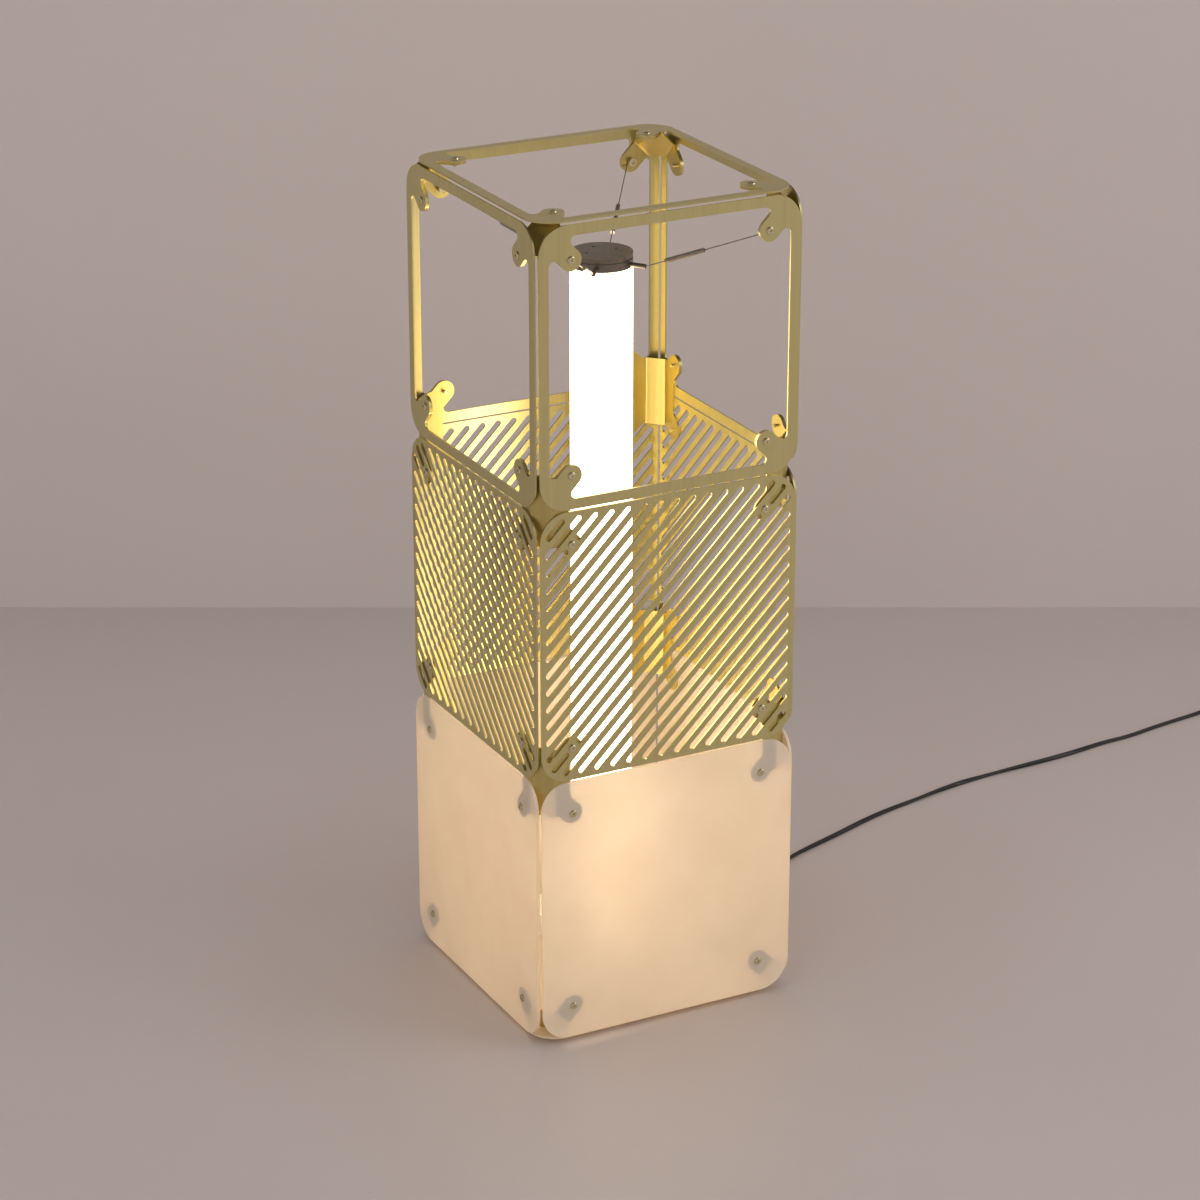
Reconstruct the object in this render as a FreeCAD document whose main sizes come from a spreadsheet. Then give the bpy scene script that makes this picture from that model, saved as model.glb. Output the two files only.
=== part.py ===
import FreeCAD, Part
import math
import os
import Sketcher
from FreeCAD import Placement, Rotation, Vector

# Column floor lamp, in millimetres, +Z up, origin on the floor under the column's centre.
# Three cube-like modules of flat plates stand on each other: open frames on top, slotted sheets in the
# middle, opal panels below. -Y is the front, +X the right side, as seen by someone in front of it.

doc = FreeCAD.newDocument("column_lamp")
sheet = doc.addObject("Spreadsheet::Sheet", "sizes")

SIZES = [
    # The column
    ("lamp_width", 300, "across the outer faces of two opposite brass plates"),
    ("plate_setback", 3.5, "plate edge to the outer face of the plate round the corner"),
    ("plate_gap", 2, "between the plates of two modules"),
    ("metal", 2, "brass-finished sheet of plates and brackets"),
    ("panel_thickness", 3, "opal panels"),
    ("feet_height", 4, "floor to the base plate"),
    ("plate_corner", 30, "outer corner radius of every plate"),
    ("screw_inset", 35.5, "plate edge to screw centre, both ways"),
    # Frame plates
    ("rail_width", 11, "the ring's straight sides"),
    ("ear_radius", 11.5, "round ends of frame ears and bracket flaps"),
    ("window_fillet", 5.5, "where an ear meets a rail"),
    # Slotted plates
    ("slots_per_span", 12, "slot steps from one screw to the next"),
    ("slots_past_screw", 2, "further slot steps beyond a corner screw"),
    ("slot_width", 7, "width of a slot"),
    ("slot_margin", 5.5, "solid edge around the slots"),
    ("screw_land", 7, "solid radius left around a screw"),
    # Brackets
    ("corner_facet", 47.5, "where a corner bracket's facet meets each edge of the cube"),
    ("joint_facet", 16.7, "where a joint bracket's facet meets the two side planes"),
    ("joint_height", 75.2, "height of a joint bracket's facet"),
    ("joint_neck", 34.6, "corner to the straight edge between a wing's ears"),
    ("bend_radius", 1.5, "inside radius of the folds"),
    # Screws
    ("shank", 4, "screw shank diameter"),
    ("head_width", 8.5, "screw head diameter"),
    ("head_height", 1.8, "screw head above the plate"),
    ("screw_length", 8, "under the head"),
    ("socket_flats", 2.5, "hexagon socket across flats"),
    ("socket_depth", 1.3, "hexagon socket depth"),
    ("clearance", 0.4, "hole over shank, diameter"),
    ("thread_clearance", 0.1, "tapped hole over shank, diameter"),
    # Feet
    ("foot_diameter", 22, "rubber feet"),
    ("foot_at", 84, "feet from the centre, both ways"),
    # Light tube
    ("tube_diameter", 65, "opal tube, outside"),
    ("tube_wall", 2.5, "opal tube wall"),
    ("tube_top", 796, "floor to the tube's upper end"),
    ("cap_height", 14, "dark cap over the tube"),
    ("cap_spigot", 8, "cap's plug inside the tube"),
    ("cap_groove_at", 4.5, "cap's top to its groove"),
    ("cap_groove", 1, "groove width and depth"),
    ("cap_screw_at", 17, "cap screws from the axis"),
    ("cap_vent_at", 18, "small third hole from the axis"),
    ("cap_vent", 3, "small third hole diameter"),
    ("cap_head_width", 7.4, "countersunk head diameter"),
    ("cap_head_depth", 2, "countersunk head depth"),
    ("cap_screw_length", 28, "cap screw, whole"),
    ("fit_gap", 0.3, "radial clearance of tube, cap, socket and button"),
    ("sink_width", 44, "heat sink bar"),
    ("sink_depth", 14, "heat sink bar"),
    ("strip_width", 24, "LED strips"),
    ("strip_thickness", 1.6, "LED strips"),
    ("strip_end", 18, "bar's end to strip's end"),
    # Tube socket
    ("socket_flange", 6, "flange edge beyond its screws' axes"),
    ("socket_base", 6, "base plate to the tube's seat"),
    ("socket_flange_height", 4, "flange thickness"),
    ("socket_wall", 4, "collar wall"),
    ("socket_height", 40, "base plate to the collar's rim"),
    ("socket_screw_at", 5.2, "flange screws' axes beyond the collar"),
    # Suspension wires
    ("post_diameter", 5, "anchor posts in the cap's side"),
    ("post_end", 50, "post end from the axis"),
    ("post_drop", 10, "cap's top to the post axis"),
    ("post_spigot", 3, "post's threaded end, diameter"),
    ("post_spigot_length", 6, "post's threaded end, length"),
    ("wire", 1.2, "suspension wire diameter"),
    ("sleeve_diameter", 5, "tension sleeves"),
    ("sleeve_bore", 1.6, "tension sleeve bore"),
    ("sleeve_from", 24, "post end to the sleeve, along the wire"),
    ("sleeve_length", 46, "tension sleeves"),
    ("anchor_diameter", 9, "anchor nuts behind the upper screws"),
    ("anchor_floor", 0.3, "anchor nut beyond the screw's tip, before its socket"),
    ("anchor_flats", 3, "anchor nut socket across flats"),
    # Electrical pieces on the base plate
    ("driver_length", 120, "LED driver"),
    ("driver_width", 46, "LED driver"),
    ("driver_height", 26, "LED driver"),
    ("driver_at", 98, "driver's centre behind the axis"),
    ("driver_tab", 12, "driver's fixing tabs, length"),
    ("driver_tab_height", 3, "driver's fixing tabs, thickness"),
    ("driver_round", 2, "driver's edges"),
    ("terminal_length", 22, "terminal block along the cord"),
    ("terminal_width", 18, "terminal block"),
    ("terminal_height", 16, "terminal block"),
    ("terminal_back", 34, "panel's inner face to the terminal block"),
    ("lead", 4, "lead wires"),
    # Cord and its gland in the right-hand panel
    ("cord", 5.5, "cord, across its flat"),
    ("gland_side", 62, "gland behind the lamp's middle"),
    ("gland_height", 22, "gland axis above the floor"),
    ("gland_thread", 12, "gland's threaded body"),
    ("gland_flange", 18, "gland's flange"),
    ("gland_flange_height", 2, "gland's flange"),
    ("gland_relief", 24, "tapered strain relief, length"),
    ("gland_relief_root", 11, "tapered strain relief, thick end"),
    ("gland_relief_tip", 7.5, "tapered strain relief, thin end"),
    ("gland_inside", 12, "threaded body inside the panel"),
    ("gland_nut", 18, "gland nut across its corners"),
    ("gland_nut_height", 5, "gland nut thickness"),
    # Coil of the cord that is put away
    ("coil_inner", 22, "least radius of the coil's centre line"),
    ("coil_step", 6.1, "coil radius per turn"),
    ("coil_turns", 5.25, "turns, half of them in each layer"),
    # Plug
    ("plug_length", 36, "plug body"),
    ("plug_width", 30, "plug body"),
    ("plug_nose", 22, "plug body's width at the cord"),
    ("plug_thickness", 18, "plug body"),
    ("plug_round", 4, "plug body's edges"),
    ("plug_relief", 28, "plug's tapered strain relief"),
    ("plug_relief_root", 11, "thick end of the plug's strain relief"),
    ("plug_relief_tip", 7.5, "thin end of the plug's strain relief"),
    ("pin_diameter", 4, "plug pins"),
    ("pin_length", 19, "plug pins outside the body"),
    ("pin_spacing", 19, "plug pins, centre to centre"),
    ("pin_root", 8, "plug pins inside the body"),
    # Foot switch
    ("switch_length", 76, "in-line switch"),
    ("switch_width", 32, "in-line switch"),
    ("switch_corner", 10, "in-line switch, corners in plan"),
    ("switch_shell", 10, "lower shell, height"),
    ("switch_cover", 9, "cover, height"),
    ("switch_wall", 2, "walls of shell and cover"),
    ("switch_round", 3.5, "cover's upper edge"),
    ("switch_entry", 4.2, "cord axis above the floor at the switch"),
    ("button_diameter", 20, "push button"),
    ("button_proud", 3.4, "push button above the cover"),
    ("button_flange", 24, "push button's retaining flange"),
    ("button_flange_height", 2, "push button's retaining flange"),
    ("button_hollow", 15, "hollow under the button"),
    ("button_roof", 2.4, "button above its hollow"),
    ("spring_diameter", 11, "button spring, outside"),
    ("spring_wire", 1, "button spring wire"),
    ("spring_turns", 5, "button spring"),
    ("seat_height", 5, "spring seat above the floor"),
    ("seat_diameter", 14, "spring seat"),
]

for row, (alias, value, meaning) in enumerate(SIZES, start=1):
    sheet.set(f"A{row}", meaning)
    sheet.set(f"B{row}", str(value))
    sheet.setAlias(f"B{row}", alias)
doc.recompute()


def size(expression):
    """The present value of an expression of the sheet's aliases."""
    return float(sheet.evalExpression(expression))


# Expressions that several pieces share
HALF = "(sizes.lamp_width / 2)"
SIDE = "(sizes.lamp_width - 2 * sizes.plate_setback)"
PITCH = f"({SIDE} + sizes.plate_gap)"
INNER = f"({HALF} - sizes.metal)"
SCREW_AT = f"({SIDE} / 2 - sizes.screw_inset)"
TOP = f"(sizes.feet_height + sizes.lamp_width + 2 * {PITCH})"
BASE_TOP = "(sizes.feet_height + sizes.metal)"
SEAT = f"({BASE_TOP} + sizes.socket_base)"
COLLAR_BORE = "(sizes.tube_diameter / 2 + sizes.fit_gap)"
COLLAR = f"({COLLAR_BORE} + sizes.socket_wall)"
FLANGE_SCREWS = f"({COLLAR} + sizes.socket_screw_at)"
HOLE = "(sizes.shank + sizes.clearance)"
TAPPED = "(sizes.shank + sizes.thread_clearance)"

SIDES = ["front", "right", "back", "left"]
Z_AXIS = Vector(0, 0, 1)
NEAR = 1e-3  # how far apart two places may be and still count as one, in millimetres
nodes = []


def module_height(level):
    """Height of a module's centre: 0 the opal one, 1 the slotted one, 2 the open one."""
    return size(f"sizes.feet_height + {HALF} + {level} * {PITCH}")


def turned_about_z(quarter, placement):
    """A placement carried round the column by quarter turns."""
    return Placement(Vector(), Rotation(Z_AXIS, 90 * quarter)).multiply(placement)


def side_placement(quarter, level):
    """Plate lying in XY, its outer face up, stood on one side of a module."""
    front = Placement(Vector(0, -size(INNER), module_height(level)), Rotation(Vector(1, 0, 0), 90))
    return turned_about_z(quarter, front)


def keep(item, name, placement=None):
    """Name a finished sub-part, place it and put it on the list of nodes."""
    item.Label = name
    if placement is not None:
        item.Placement = placement
    nodes.append(item)
    return item


def feature(name, shape, placement=None):
    """A sub-part whose shape is worked out from the sheet."""
    item = doc.addObject("Part::Feature", name)
    item.Shape = shape
    return keep(item, name, placement or Placement())


# Sketch helpers: every point is tied to the sketch's origin by expressions


def tie(sketch, geometry, point, axis, expression):
    """Tie one coordinate of a sketch point to an expression."""
    value = size(expression)
    if abs(value) < NEAR:
        sketch.addConstraint(Sketcher.Constraint("PointOnObject", geometry, point, -2 if axis == "X" else -1))
        return
    ends = (-1, 1, geometry, point) if value > 0 else (geometry, point, -1, 1)
    number = sketch.addConstraint(Sketcher.Constraint("Distance" + axis, *ends, abs(value)))
    sketch.setExpression(f"Constraints[{number}]", expression if value > 0 else f"-({expression})")


def new_sketch(body, name, plane="XY_Plane", lift=None, turn=0):
    """A sketch on one of the body's own origin planes, lifted along its normal."""
    sketch = body.newObject("Sketcher::SketchObject", name)
    support = [item for item in body.Origin.OriginFeatures if item.Role == plane][0]
    sketch.AttachmentSupport = (support, "")
    sketch.MapMode = "FlatFace"
    sketch.AttachmentOffset = Placement(Vector(), Rotation(Z_AXIS, turn))
    if lift:
        sketch.setExpression(".AttachmentOffset.Base.z", lift)
    return sketch


def polygon(sketch, points):
    """A closed outline through points given as pairs of expressions."""
    start = sketch.GeometryCount
    spots = [Vector(size(x), size(y), 0) for x, y in points]
    for index, spot in enumerate(spots):
        sketch.addGeometry(Part.LineSegment(spot, spots[(index + 1) % len(spots)]))
    for index, (x, y) in enumerate(points):
        before = start + (index - 1) % len(points)
        sketch.addConstraint(Sketcher.Constraint("Coincident", before, 2, start + index, 1))
        tie(sketch, start + index, 1, "X", x)
        tie(sketch, start + index, 1, "Y", y)


def rectangle(sketch, width, height, x="0", y="0"):
    """A rectangle centred on (x, y)."""
    polygon(sketch, [(f"{x} {a} ({width}) / 2", f"{y} {b} ({height}) / 2")
                     for a, b in (("-", "-"), ("+", "-"), ("+", "+"), ("-", "+"))])


def circle(sketch, diameter, x="0", y="0"):
    """A circle centred on (x, y)."""
    number = sketch.addGeometry(Part.Circle(Vector(size(x), size(y), 0), Z_AXIS, size(diameter) / 2))
    tie(sketch, number, 3, "X", x)
    tie(sketch, number, 3, "Y", y)
    ring = sketch.addConstraint(Sketcher.Constraint("Radius", number, size(diameter) / 2))
    sketch.setExpression(f"Constraints[{ring}]", f"({diameter}) / 2")


def tongue(sketch, end, root, radius):
    """A strip along +X from a round end centred at end to a square root."""
    e, r, w = size(end), size(root), size(radius)
    sketch.addGeometry(Part.LineSegment(Vector(e, -w, 0), Vector(r, -w, 0)))
    sketch.addGeometry(Part.LineSegment(Vector(r, -w, 0), Vector(r, w, 0)))
    sketch.addGeometry(Part.LineSegment(Vector(r, w, 0), Vector(e, w, 0)))
    round_end = Part.Circle(Vector(e, 0, 0), Z_AXIS, w)
    sketch.addGeometry(Part.ArcOfCircle(round_end, math.pi / 2, 3 * math.pi / 2))
    rules = [("Coincident", 0, 2, 1, 1), ("Coincident", 1, 2, 2, 1), ("Tangent", 2, 2, 3, 1),
             ("Tangent", 3, 2, 0, 1), ("Vertical", 1), ("Horizontal", 0)]
    for rule in rules:
        sketch.addConstraint(Sketcher.Constraint(*rule))
    tie(sketch, 3, 3, "X", end)
    tie(sketch, 3, 3, "Y", "0")
    tie(sketch, 1, 1, "X", root)
    ring = sketch.addConstraint(Sketcher.Constraint("Radius", 3, w))
    sketch.setExpression(f"Constraints[{ring}]", radius)


# Body helpers


def new_body(name):
    """An empty PartDesign body."""
    return doc.addObject("PartDesign::Body", name)


def pad(body, sketch, length):
    """Add the sketch's outline, extruded."""
    item = body.newObject("PartDesign::Pad", sketch.Name + "_pad")
    item.Profile = sketch
    item.setExpression("Length", length)
    return item


def pocket(body, sketch, length, down=False):
    """Cut the sketch's outline, and see that it did take something away."""
    doc.recompute()
    before = body.Shape.Volume
    item = body.newObject("PartDesign::Pocket", sketch.Name + "_cut")
    item.Profile = sketch
    item.setExpression("Length", length)
    item.Reversed = not down
    doc.recompute()
    if not body.Shape.Volume < before:
        raise ValueError(item.Name + " cuts nothing")
    return item


def repeat(body, original):
    """Repeat a feature at every quarter turn round the body's Z axis."""
    item = body.newObject("PartDesign::PolarPattern", original.Name + "_pattern")
    item.Originals = [original]
    item.Axis = ([a for a in body.Origin.OriginFeatures if a.Role == "Z_Axis"][0], [""])
    item.Angle = 360
    item.Occurrences = len(SIDES)
    body.Tip = item
    return item


def upright_edges(shape, wanted):
    """Names of the edges along Z whose place passes the test."""
    found = []
    for number, edge in enumerate(shape.Edges, start=1):
        low, high = edge.Vertexes[0].Point, edge.Vertexes[-1].Point
        upright = math.hypot(low.x - high.x, low.y - high.y) < NEAR < abs(low.z - high.z)
        if upright and wanted(abs(low.x), abs(low.y)):
            found.append(f"Edge{number}")
    return found


def fillet(body, edges, radius):
    """Round the named edges of the body's last feature."""
    base = body.Tip
    item = body.newObject("PartDesign::Fillet", base.Name + "_round")
    item.Base = (base, edges)
    item.setExpression("Radius", radius)
    body.Tip = item
    return item


def turned(name, profile):
    """A turned piece: an outline in the XZ plane, radius then height, spun about Z."""
    body = new_body(name)
    outline = new_sketch(body, name + "_profile", "XZ_Plane")
    polygon(outline, profile)
    spun = body.newObject("PartDesign::Revolution", name + "_spun")
    spun.Profile = outline
    spun.ReferenceAxis = (outline, ["V_Axis"])
    spun.Angle = 360
    return body


# Plates


def blank_plate(name, thickness):
    """Rounded square plate lying on XY, with its four screw holes."""
    body = new_body(name)
    outline = new_sketch(body, name + "_outline")
    rectangle(outline, SIDE, SIDE)
    pad(body, outline, thickness)
    doc.recompute()
    edge = size(SIDE) / 2
    fillet(body, upright_edges(body.Shape, lambda x, y: min(x, y) > edge - NEAR), "sizes.plate_corner")
    hole = new_sketch(body, name + "_hole")
    circle(hole, HOLE, SCREW_AT, SCREW_AT)
    repeat(body, pocket(body, hole, thickness))
    return body


def frame_plate(name):
    """Plate cut out to a ring of rails, with an ear along each diagonal that holds a screw."""
    body = new_body(name)
    outline = new_sketch(body, name + "_outline")
    rectangle(outline, SIDE, SIDE)
    pad(body, outline, "sizes.metal")
    opening = new_sketch(body, name + "_window")
    window = f"({SIDE} - 2 * sizes.rail_width)"
    rectangle(opening, window, window)
    pocket(body, opening, "sizes.metal")
    ear = new_sketch(body, name + "_ear", turn=45)
    diagonal = f"sqrt(2) * {SCREW_AT}"
    # The square root lies past the window's corner and still inside the plate's edges
    root = f"(sqrt(2) * ({window} + {SIDE}) / 2 - sizes.ear_radius) / 2"
    tongue(ear, diagonal, root, "sizes.ear_radius")
    repeat(body, pad(body, ear, "sizes.metal"))
    doc.recompute()
    edge = size(SIDE) / 2
    fillet(body, upright_edges(body.Shape, lambda x, y: min(x, y) > edge - NEAR), "sizes.plate_corner")
    doc.recompute()
    rail = size(window) / 2
    near_ear = size(SCREW_AT)
    beside_ears = upright_edges(
        body.Shape, lambda x, y: abs(max(x, y) - rail) < NEAR and min(x, y) > near_ear / 2)
    fillet(body, beside_ears, "sizes.window_fillet")
    hole = new_sketch(body, name + "_hole")
    circle(hole, HOLE, SCREW_AT, SCREW_AT)
    repeat(body, pocket(body, hole, "sizes.metal"))
    return body


SLOT_STEPS = 4000  # how finely a slot line is searched for its ends, each way from its middle


def slot_stretch(offset):
    """The stretch of the slot centre line y = x + offset inside the rounded square that leaves the margin,
    in a list, which is empty where the line passes that square by."""
    reach = size(f"{SIDE} / 2 - sizes.slot_margin - sizes.slot_width / 2")
    corner = size("sizes.plate_corner - sizes.slot_margin - sizes.slot_width / 2")
    inside = []
    for index in range(-SLOT_STEPS, SLOT_STEPS + 1):
        along = index * reach / SLOT_STEPS
        x, y = along - offset / 2, along + offset / 2
        over_x, over_y = max(abs(x) - (reach - corner), 0), max(abs(y) - (reach - corner), 0)
        if math.hypot(over_x, over_y) <= corner and max(abs(x), abs(y)) <= reach:
            inside.append(along)
    return [(inside[0], inside[-1])] if inside else []


def slot_runs(offset):
    """Stretches of one slot line, interrupted at the lands of the screws that it passes."""
    keep_off = size("(sizes.screw_land + sizes.slot_width / 2)")
    spot = size(SCREW_AT)
    runs = slot_stretch(offset)
    for sx in (-spot, spot):
        for sy in (-spot, spot):
            away = abs(sy - sx - offset) / math.sqrt(2)
            if away >= keep_off:
                continue
            middle = (sx + sy) / 2
            half = math.sqrt(keep_off ** 2 - away ** 2) / math.sqrt(2)
            cut = []
            for start, end in runs:
                cut += [(start, min(end, middle - half)), (max(start, middle + half), end)]
            runs = [(start, end) for start, end in cut if end - start > 0]
    return runs


def slots(name, rising):
    """The 45-degree slots as one set of stadium-shaped cutters through a plate."""
    step = size(f"2 * {SCREW_AT} / sizes.slots_per_span")
    count = int(size("sizes.slots_per_span + sizes.slots_past_screw"))
    radius = size("sizes.slot_width") / 2
    depth = 3 * size("sizes.metal")
    sign = 1 if rising else -1
    cutters = []
    for number in range(-count, count + 1):
        offset = number * step
        for start, end in slot_runs(offset):
            ends = [Vector(sign * (a - offset / 2), a + offset / 2, -depth / 3) for a in (start, end)]
            side = (ends[1] - ends[0]).cross(Z_AXIS).normalize() * radius
            tips = [(ends[1] - ends[0]).normalize() * radius * s for s in (-1, 1)]
            edges = [Part.LineSegment(ends[0] + side, ends[1] + side),
                     Part.Arc(ends[1] + side, ends[1] + tips[1], ends[1] - side),
                     Part.LineSegment(ends[1] - side, ends[0] - side),
                     Part.Arc(ends[0] - side, ends[0] + tips[0], ends[0] + side)]
            outline = Part.Wire([edge.toShape() for edge in edges])
            cutters.append(Part.Face(outline).extrude(Z_AXIS * depth))
    item = doc.addObject("Part::Feature", name)
    item.Shape = Part.Compound(cutters)
    return item


def build_plates():
    """All the flat plates of the column."""
    top = frame_plate("top_frame_plate")
    keep(top, "top_frame_plate", Placement(Vector(0, 0, size(TOP) - size("sizes.metal")), Rotation()))
    blank = blank_plate("slotted_blank", "sizes.metal")
    rising, falling = slots("rising_slots", True), slots("falling_slots", False)
    for quarter, side in enumerate(SIDES):
        keep(frame_plate("upper_frame_" + side), "upper_frame_" + side, side_placement(quarter, 2))
        slotted = doc.addObject("Part::Cut", "slotted_plate_" + side)
        slotted.Base = blank
        slotted.Tool = rising if side == "front" else falling
        keep(slotted, "slotted_plate_" + side, side_placement(quarter, 1))
        panel = blank_plate("frosted_panel_" + side, "sizes.panel_thickness")
        if side == "right":
            entry = new_sketch(panel, "cord_entry")
            drop = f"sizes.gland_height - (sizes.feet_height + {HALF})"
            circle(entry, "sizes.gland_thread + sizes.clearance", "sizes.gland_side", drop)
            pocket(panel, entry, "sizes.panel_thickness")
        keep(panel, "frosted_panel_" + side, side_placement(quarter, 0))
    base = blank_plate("base_plate", "sizes.metal")
    fixing = new_sketch(base, "socket_fixing", turn=45)
    circle(fixing, TAPPED, FLANGE_SCREWS)
    repeat(base, pocket(base, fixing, "sizes.metal"))
    driver_fixing = new_sketch(base, "driver_fixing")
    for side in ("-", ""):
        circle(driver_fixing, TAPPED, f"{side}(sizes.driver_length + sizes.driver_tab) / 2", "-sizes.driver_at")
    pocket(base, driver_fixing, "sizes.metal")
    keep(base, "base_plate", Placement(Vector(0, 0, size(BASE_TOP)), Rotation(Vector(1, 0, 0), 180)))


# Folded brackets


def hole_cutter(spot, direction):
    """A tapped hole through a flap at spot."""
    reach = 2 * size("sizes.metal")
    return Part.makeCylinder(size(TAPPED) / 2, 2 * reach, spot - direction * reach, direction)


FOLD_NEAR = 0.3  # how near a fold's middle has to be to the point that names it


def rounded_folds(shape, inside, outside):
    """Round the folds: the edges listed by their middles, hollow side and then outer side."""
    for middles, radius in ((inside, size("sizes.bend_radius")),
                            (outside, size("sizes.bend_radius + sizes.metal"))):
        edges = [edge for edge in shape.Edges
                 if any((edge.CenterOfMass - middle).Length < FOLD_NEAR for middle in middles)]
        shape = shape.makeFillet(radius, edges)
    return shape


def corner_bracket():
    """Sheet folded over a cube corner, seen from that corner: three flaps round a hexagonal facet."""
    facet, width, thickness = size("sizes.corner_facet"), size("sizes.ear_radius"), size("sizes.metal")
    spot = size(f"{INNER} - {SCREW_AT}")
    half = width / math.sqrt(2)
    low, high = facet / 2 - half, facet / 2 + half
    ring = [Vector(high, low, 0), Vector(low, high, 0), Vector(0, high, low),
            Vector(0, low, high), Vector(low, 0, high), Vector(high, 0, low)]
    inward = Vector(1, 1, 1).normalize()
    shape = Part.Face(Part.makePolygon(ring + ring[:1])).extrude(inward * thickness)
    round_end = spot + half
    flap = [Part.LineSegment(Vector(low, high, 0), Vector(high, low, 0)),
            Part.LineSegment(Vector(high, low, 0), Vector(spot + half, spot - half, 0)),
            Part.Arc(Vector(spot + half, spot - half, 0), Vector(round_end, round_end, 0),
                     Vector(spot - half, spot + half, 0)),
            Part.LineSegment(Vector(spot - half, spot + half, 0), Vector(low, high, 0))]
    slab = Part.Face(Part.Wire([edge.toShape() for edge in flap])).extrude(Z_AXIS * thickness)
    hole = hole_cutter(Vector(spot, spot, 0), Z_AXIS)
    thirds = [Rotation(Vector(1, 1, 1), 120 * turn) for turn in range(3)]
    for third in thirds:
        shape = shape.fuse(slab.transformed(Placement(Vector(), third).toMatrix()))
    shape = shape.removeSplitter()
    # The facet's inner face meets a flap's upper face where x + y + z = facet + sqrt(3) * thickness
    inner_fold = (facet + (math.sqrt(3) - 1) * thickness) / 2
    outside = [third.multVec(Vector(facet / 2, facet / 2, 0)) for third in thirds]
    inside = [third.multVec(Vector(inner_fold, inner_fold, thickness)) for third in thirds]
    shape = rounded_folds(shape, inside, outside)
    for third in thirds:
        shape = shape.cut(hole.transformed(Placement(Vector(), third).toMatrix()))
    return shape


def joint_bracket():
    """Sheet folded across an upright edge: a flat facet and two wings, each with an ear up and down."""
    facet, thickness = size("sizes.joint_facet"), size("sizes.metal")
    ear, neck = size("sizes.ear_radius"), size("sizes.joint_neck")
    top = size("sizes.joint_height") / 2
    spot = Vector(size(f"{INNER} - {SCREW_AT}"), 0, size("sizes.screw_inset + sizes.plate_gap / 2"))
    half = ear / math.sqrt(2)
    upper = spot + Vector(-half, 0, half)
    lower = spot + Vector(half, 0, -half)
    shoulder = Vector(upper.x - (upper.z - top), 0, top)
    notch = Vector(neck, 0, lower.z - (lower.x - neck))
    tip = spot + Vector(half, 0, half)

    def flipped(point):
        return Vector(point.x, point.y, -point.z)

    start = Vector(facet, 0, top)
    lines = [(start, shoulder), (shoulder, upper), (lower, notch), (notch, flipped(notch)),
             (flipped(notch), flipped(lower)), (flipped(upper), flipped(shoulder)),
             (flipped(shoulder), flipped(start)), (flipped(start), start)]
    edges = [Part.LineSegment(a, b).toShape() for a, b in lines]
    edges.append(Part.Arc(upper, tip, lower).toShape())
    edges.append(Part.Arc(flipped(lower), flipped(tip), flipped(upper)).toShape())
    wing = Part.Face(Part.Wire(Part.__sortEdges__(edges))).extrude(Vector(0, thickness, 0))
    half_way = Vector(0, thickness / 2, 0)
    corners = [corner + half_way for corner in (shoulder, notch, flipped(shoulder), flipped(notch))]
    rounded = [edge for edge in wing.Edges
               if any((edge.CenterOfMass - corner).Length < NEAR for corner in corners)]
    wing = wing.makeFillet(size("sizes.window_fillet"), rounded)
    for height in (spot.z, -spot.z):
        wing = wing.cut(hole_cutter(Vector(spot.x, 0, height), Vector(0, 1, 0)))
    other = wing.mirror(Vector(), Vector(1, -1, 0))
    middle = thickness / math.sqrt(2)
    face = [Vector(facet, 0, -top), Vector(0, facet, -top), Vector(middle, facet + middle, -top),
            Vector(facet + middle, middle, -top)]
    slab = Part.Face(Part.makePolygon(face + face[:1])).extrude(Z_AXIS * 2 * top)
    shape = slab.fuse([wing, other]).removeSplitter()
    inner_fold = facet + (math.sqrt(2) - 1) * thickness
    outside = [Vector(facet, 0, 0), Vector(0, facet, 0)]
    inside = [Vector(inner_fold, thickness, 0), Vector(thickness, inner_fold, 0)]
    return rounded_folds(shape, inside, outside)


def build_brackets():
    """Eight corner brackets and eight joint brackets, numbered from the front left corner."""
    corner, joint = corner_bracket(), joint_bracket()
    inner = size(INNER)
    over = Rotation(Vector(1, -1, 0), 180)
    upright = Rotation(Z_AXIS, 180)
    heights = [("top_corner_bracket", corner, over, size(f"{TOP} - sizes.metal")),
               ("upper_joint_bracket", joint, upright, (module_height(1) + module_height(2)) / 2),
               ("lower_joint_bracket", joint, upright, (module_height(0) + module_height(1)) / 2),
               ("bottom_corner_bracket", corner, upright, size(BASE_TOP))]
    for name, shape, rotation, height in heights:
        for number in range(4):
            placement = turned_about_z(number + 2, Placement(Vector(inner, inner, height), rotation))
            feature(f"{name}_{number + 1}", shape, placement)


# Screws


def hexagon(flats, depth, top):
    """A hexagonal socket, open at the top."""
    corner = flats / math.sqrt(3)
    ring = [Vector(corner * math.cos(math.radians(60 * k)), corner * math.sin(math.radians(60 * k)), top - depth)
            for k in range(7)]
    return Part.Face(Part.makePolygon(ring)).extrude(Z_AXIS * depth)


# Shares of the head's radius and height on its round side: rim, shoulder and crown
HEAD_RIM, HEAD_SHOULDER, HEAD_CROWN = 1 / 3, (0.9, 0.78), 0.62


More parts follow.
